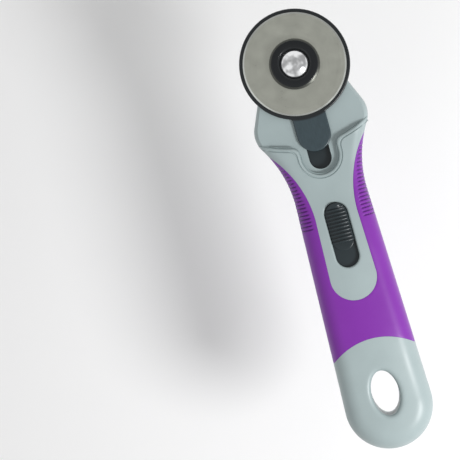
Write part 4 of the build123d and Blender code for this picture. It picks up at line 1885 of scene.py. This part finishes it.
@dataclass
class GuardAssembly:
    """The guard disc with its tongue, and the ribbed thumb button that slides it."""

    form: HandleForm = field(default_factory=HandleForm)
    disc_r: float = 24.1
    disc_z: Pair = (16.6, 18.1)
    tongue_half: float = 7.4
    tongue_tip: float = 38.9
    tongue_fillet: float = 0.8
    bolt_slot: Triple = (4.05, -11.05, 4.05)
    neck: Triple = (4.4, 28.5, 38.4)
    bar_top: float = 13.9
    peg_stations: Pair = (31.05, 35.85)
    peg_r: float = 1.15
    button_half: float = 4.9
    button_start: float = 62.6
    button_end: float = 83.8
    ribbed_end: float = 80.0
    rise: float = 1.4
    tail_sink: float = 1.9
    flange_half: float = 6.5
    flange: Pair = (54.1, 97.1)
    flange_sink: float = 2.2
    rib_first: float = 65.6
    rib_pitch: float = 1.55
    rib_count: int = 10
    rib_r: float = 0.5
    rib_stand: float = 0.75
    rib_arch_r: float = 10.0

    def plate(self, x: Array, s: Array) -> Array:
        """Signed distance from the disc and tongue, less the bolt's slot.

        Args:
            x: place across the handle.
            s: station.

        Returns:
            The distance.
        """
        body = smooth_min(disc(x, s, 0, 0, self.disc_r),
                          oblong(x, s, self.tongue_half, 0, self.tongue_tip), self.tongue_fillet)
        return np.maximum(body, -oblong(x, s, *self.bolt_slot))

    def guard(self, material: Material) -> Object:
        """Build the guard: plate, neck and pegs.

        Args:
            material: its finish.

        Returns:
            The new object.
        """
        low, high = self.disc_z
        plate = Slab(self.plate, ((-25.5, -25.5), (25.5, 40.5)), low, level(high),
                     0.6, 0.25, 2.2, 0.8)
        half, start, end = self.neck
        neck = Slab(lambda x, s: oblong(x, s, half, start, end), ((-6, 27), (6, 40)), self.bar_top,
                    level(low + 0.1), 0.05, 0.2, 2.0)
        pieces = [plate.make("guard_plate", material), neck.make("guard_neck", material)]
        for station in self.peg_stations:
            peg = Slab(lambda x, s, at=station: disc(x, s, 0, at, self.peg_r),
                       ((-2, station - 2), (2, station + 2)), self.bar_top - 2,
                       level(self.bar_top + 0.1), 0.05, 0.2, 1.0, 0.3)
            pieces.append(peg.make("guard_peg", material))
        return join("blade_guard", pieces)

    def crown(self, s: Array) -> Array:
        """Height of the handle's front along the button."""
        return self.form.crown(Side.FRONT, s)

    def pad_top(self, x: Array, s: Array) -> Array:
        """Top of the button's ribbed pad: smooth at its front end, lower between the ribs.

        Args:
            x: place across the handle.
            s: station.

        Returns:
            The height.
        """
        lower = ease(s, self.rib_first - 1.3, self.rib_first - 0.8, 0.0, self.rib_stand)
        lower = lower * (1 - ease(s, self.ribbed_end - 0.5, self.ribbed_end - 0.2, 0.0, 1.0))
        return self.crown(s) + self.rise - lower - x ** 2 / (2 * self.rib_arch_r)

    def button(self, material: Material) -> Object:
        """Build the button: ribbed pad, plain tail plate and the flange beneath.

        Args:
            material: its finish.

        Returns:
            The new object.
        """
        half = self.button_half
        deck = float(self.crown(np.array(self.ribbed_end))) - self.tail_sink
        pad = Slab(lambda x, s: np.maximum(oblong(x, s, half, self.button_start, self.button_end + half),
                                           s - self.ribbed_end),
                   ((-6, self.button_start - 1), (6, self.ribbed_end + 1)), self.bar_top, self.pad_top,
                   0.45, 0.1, 0.7, 0.5)
        tail = Slab(lambda x, s: oblong(x, s, half, self.button_start + half, self.button_end),
                    ((-6, self.button_start + half - 1), (6, self.button_end + 1)), self.bar_top,
                    level(deck), 0.5, 0.1, 1.5)
        hollow_r = self.form.front_crown_r
        plate = Slab(lambda x, s: oblong(x, s, self.flange_half, *self.flange),
                     ((-8, self.flange[0] - 1), (8, self.flange[1] + 1)), self.bar_top,
                     lambda x, s: self.crown(s) - self.flange_sink - x ** 2 / (2 * hollow_r), 0.4, 0.2, 1.5)
        return join("thumb_button", [pad.make("button_pad", material), tail.make("button_tail", material),
                                     plate.make("button_flange", material), self.ribs(material)], 40)

    def rib(self, material: Material) -> Object:
        """Build one arched half-round rib, across the origin.

        Args:
            material: its finish.

        Returns:
            The new object.
        """
        across, around = 28, 12
        xs = np.sin(np.linspace(-1, 1, across + 1) * math.pi / 2) * (self.button_half - 0.12)
        turn = np.linspace(0, 2 * math.pi, around, endpoint=False)
        points = []
        for x in xs:
            end = math.sqrt(max(0.03, 1 - (max(0.0, abs(x) - (self.button_half - 0.8)) / 0.72) ** 2))
            drop = x ** 2 / (2 * self.rib_arch_r)
            points += [(x, self.rib_r * end * math.cos(t), self.rib_r * end * math.sin(t) - drop) for t in turn]
        faces = [(i * around + k, i * around + (k + 1) % around, (i + 1) * around + (k + 1) % around,
                  (i + 1) * around + k) for i in range(across) for k in range(around)]
        faces += [tuple(range(around))[::-1], tuple(range(across * around, (across + 1) * around))]
        piece = new_object("button_ribs", np.array(points), faces, material)
        tidy(piece)
        return piece

    def ribs(self, material: Material) -> Object:
        """Repeat the rib along the pad, following the handle's crown and the pad's round end.

        Args:
            material: its finish.

        Returns:
            The new object.
        """
        low, high = self.form.front_heights
        tree = Tree("ButtonRibs", {"Count": self.rib_count, "Pitch": self.rib_pitch * MM,
                                   "First": self.rib_first * MM,
                                   "Blade axis": BLADE_Y * MM, "Half width": self.button_half * MM,
                                   "Round end": (self.button_start + self.button_half) * MM,
                                   "Height": (low + self.rise - self.rib_r) * MM, "Climb": (high - low) * MM,
                                   "Climb start": self.form.front_climb[0] * MM,
                                   "Climb end": self.form.front_climb[1] * MM})
        source = tree.source
        index = tree.add("GeometryNodeInputIndex").outputs[0]
        station = tree.math("ADD", source["First"], tree.times(index, source["Pitch"]))
        climb = tree.remap(station, source["Climb start"], source["Climb end"], 0.0, 1.0, smooth=True)
        z = tree.math("ADD", source["Height"], tree.times(climb, source["Climb"]))
        spot = tree.add("ShaderNodeCombineXYZ", {1: tree.math("SUBTRACT", source["Blade axis"], station), 2: z})
        points = tree.add("GeometryNodePoints", {"Count": source["Count"], "Position": spot.outputs[0]})
        before = tree.math("MAXIMUM", tree.math("SUBTRACT", source["Round end"], station), 0.0)
        early = tree.math("DIVIDE", before, source["Half width"])
        narrow = tree.math("SQRT", tree.math("SUBTRACT", 1.0, tree.times(early, early)))
        size = tree.add("ShaderNodeCombineXYZ", {0: narrow, 1: 1.0, 2: 1.0})
        made = tree.add("GeometryNodeInstanceOnPoints",
                        {"Points": points.outputs[0], "Instance": source["Geometry"], "Scale": size.outputs[0]})
        tree.made = made.outputs[0]
        return tree.run(self.rib(material), material)

    def build(self, finishes: Finishes) -> None:
        """Build and dress the guard and its button.

        Args:
            finishes: the material of each slot.
        """
        place(self.guard(finishes[Slot.GUARD]), "guard", Slot.GUARD, "blade_guard")
        place(self.button(finishes[Slot.BLACK]), "guard", Slot.BLACK, "thumb_button")


@dataclass
class ClampAssembly:
    """The fluted nut and flat washer behind the head."""

    nut_r: float = 10.2
    nut_h: float = 7.0
    nut_floor: float = 1.2
    insert_r: float = 5.0
    flutes: int = 14
    flute_depth: float = 0.75
    flute_width: float = 0.3
    washer_r: float = 8.5
    washer_bore: float = 2.55
    washer_z: Pair = (7.05, 7.75)

    def nut(self, material: Material) -> Object:
        """Build the nut: a domed cap with a socket for its insert, and flutes round its rim.

        Args:
            material: its finish.

        Returns:
            The new object.
        """
        profile = rounded([(0, 0, 0), (self.nut_r * 0.55, 0, 0), (self.nut_r * 0.62, 0.25, 0.1),
                           (self.nut_r - 1.9, 0.25, 0.1), (self.nut_r - 1.5, 0, 0.1), (self.nut_r, 0, 0.9),
                           (self.nut_r, self.nut_h, 0.4), (self.insert_r, self.nut_h, 0.1),
                           (self.insert_r, self.nut_floor, 0), (0, self.nut_floor, 0)], 6)
        blank = lathe("clamp_nut", profile, material, self.flutes * 18, 40)
        tree = flute_tree(self.flutes, self.nut_r, self.flute_depth, self.flute_width)
        return tree.run(blank, material)

    def washer(self, material: Material) -> Object:
        """Build the flat washer.

        Args:
            material: its finish.

        Returns:
            The new object.
        """
        low, high = self.washer_z
        profile = rounded([(self.washer_bore, low, 0.08), (self.washer_r, low, 0.12),
                           (self.washer_r, high, 0.12), (self.washer_bore, high, 0.08)], 3)
        return lathe("flat_washer", profile, material, 96)

    def build(self, finishes: Finishes) -> None:
        """Build and dress the clamp.

        Args:
            finishes: the material of each slot.
        """
        place(self.nut(finishes[Slot.BLACK]), "nut", Slot.BLACK, "clamp_nut")
        place(self.washer(finishes[Slot.SCREW]), "washer_stack", Slot.SCREW, "flat_washer")


# ------------------------------------------------------------------ studio


@dataclass
class Studio:
    """Pale floor well below the cutter, soft light from the right of the tail, and the camera."""

    aim: Triple = (-46.2, 12.8, 18.5)
    eye: Triple = (0.0, 24.6, 918.5)
    lean_deg: float = 15.52
    lens: float = 162.3
    floor_half: float = 1500.0
    floor_z: float = -80.0
    key_from: Triple = (300.0, -260.0, 380.0)
    key_size: float = 170.0
    key_power: float = 2.2
    sky: float = 0.66

    def floor(self) -> None:
        """Lay the floor."""
        half, z = self.floor_half, self.floor_z
        corners = np.array([(-half, -half, z), (half, -half, z), (half, half, z), (-half, half, z)])
        new_object("floor", corners, [(0, 1, 2, 3)], FLOOR.material())

    def light(self) -> None:
        """Set the key light and the sky."""
        lamp = bpy.data.lights.new("key", "AREA")
        lamp.shape, lamp.size, lamp.energy = "DISK", self.key_size * MM, self.key_power
        key = add_object("key", lamp)
        key.location = Vector(self.key_from) * MM
        key.rotation_euler = (-Vector(self.key_from)).to_track_quat("-Z", "Y").to_euler()
        world = bpy.data.worlds.new("sky")
        world.use_nodes = True
        graph = Graph(world.node_tree)
        cloud = graph.add("ShaderNodeTexNoise", {"Scale": 1.7, "Detail": 1.0, "Vector": graph.add(
            "ShaderNodeTexCoord").outputs["Generated"]})
        glow = graph.remap(cloud.outputs[0], 0.35, 0.65, self.sky * 0.55, self.sky * 1.35, smooth=True)
        graph.put(world.node_tree.nodes["Background"], {"Color": (1.0, 1.0, 1.0, 1.0), "Strength": glow})
        bpy.context.scene.world = world
        bpy.context.scene.view_settings.view_transform = "Standard"

    def camera(self) -> None:
        """Set the camera above the cutter, turned so that the handle leans."""
        data = bpy.data.cameras.new("camera")
        data.lens = self.lens
        eye = add_object("camera", data)
        back = (Vector(self.eye) - Vector(self.aim)).normalized()
        lean = math.radians(self.lean_deg)
        up = Vector((math.sin(lean), math.cos(lean), 0.0))
        right = up.cross(back).normalized()
        turn = Matrix((right, back.cross(right), back)).transposed()
        eye.matrix_world = Matrix.Translation(Vector(self.eye) * MM) @ turn.to_4x4()
        bpy.context.scene.camera = eye

    def build(self) -> None:
        """Build the whole studio."""
        self.floor()
        self.light()
        self.camera()


# ------------------------------------------------------------------ the cutter

FLOOR = MouldedPlastic("floor", linear(250, 250, 250), 0.9, 0.01, 1.0, 0.002, 0.1)
FINISHES = {
    Slot.HANDLE: MouldedPlastic("handle_grey", linear(160, 174, 175), 0.4, 0.09, 0.22, 0.006),
    Slot.GRIP: SoftRubber("grip_purple", linear(124, 36, 160), 0.42, 0.08, 0.2, 0.012),
    Slot.BLACK: MouldedPlastic("black_plastic", linear(36, 46, 50), 0.33, 0.15, 0.2, 0.006),
    # Guard: the disc's dark colour is painted shade and the tongue's paler colour past 24.1 mm is painted
    # light.
    Slot.GUARD: PaintedLightPlastic("guard_plastic", linear(22, 27, 30), 0.3, 0.1, 0.2, 0.006, 0.5,
                              BLADE_CENTRE, 24.1, linear(58, 73, 79)),
    Slot.WASHER: MouldedPlastic("washer_plastic", linear(16, 20, 23), 0.22, 0.15, 0.3, 0.003),
    # Blade: the brighter bevel colour past 21.85 mm is polish and partly a painted highlight.
    Slot.BLADE: TurnedMetal("blade_steel", linear(198, 200, 189), 0.34, 0.1, 0.2, 0.002,
                            BLADE_CENTRE, 0.16, 21.85, linear(214, 217, 212)),
    Slot.BOLT: PlatedMetal("bolt_chrome", linear(244, 245, 246), 0.11, 0.05, 0.2, 0.0008),
    Slot.SCREW: PlatedMetal("screw_steel", linear(190, 192, 196), 0.3, 0.1, 0.2, 0.002),
    Slot.SPRING: PlatedMetal("spring_steel", linear(170, 172, 176), 0.3, 0.12, 0.2, 0.002),
    Slot.BRASS: TurnedMetal("insert_brass", linear(214, 176, 96), 0.3, 0.1, 0.2, 0.002, BLADE_CENTRE, 0.25),
}
KEPT = {"slide_bar": Slot.BLACK, "slide_retainer": Slot.BLACK, "detent_spring": Slot.SPRING,
        "spring_washer": Slot.SPRING, "retainer_screws": Slot.SCREW, "nut_insert": Slot.BRASS}


def dress_kept_nodes(finishes: Finishes) -> None:
    """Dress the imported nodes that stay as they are.

    Args:
        finishes: the material of each slot.
    """
    for name, slot in KEPT.items():
        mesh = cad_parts[name].data
        mesh.materials.clear()
        mesh.materials.append(finishes[slot])
        log.info("%s: kept, finish %s", name, slot.value)


def main() -> None:
    """Build the cutter and its studio."""
    logging.basicConfig(level=logging.INFO, format="%(name)s %(message)s")
    finishes = {slot: finish.material() for slot, finish in FINISHES.items()}
    HandleAssembly().build(finishes)
    BladeAssembly().build(finishes)
    GuardAssembly().build(finishes)
    ClampAssembly().build(finishes)
    dress_kept_nodes(finishes)
    Studio().build()


if __name__ == "__main__":
    main()
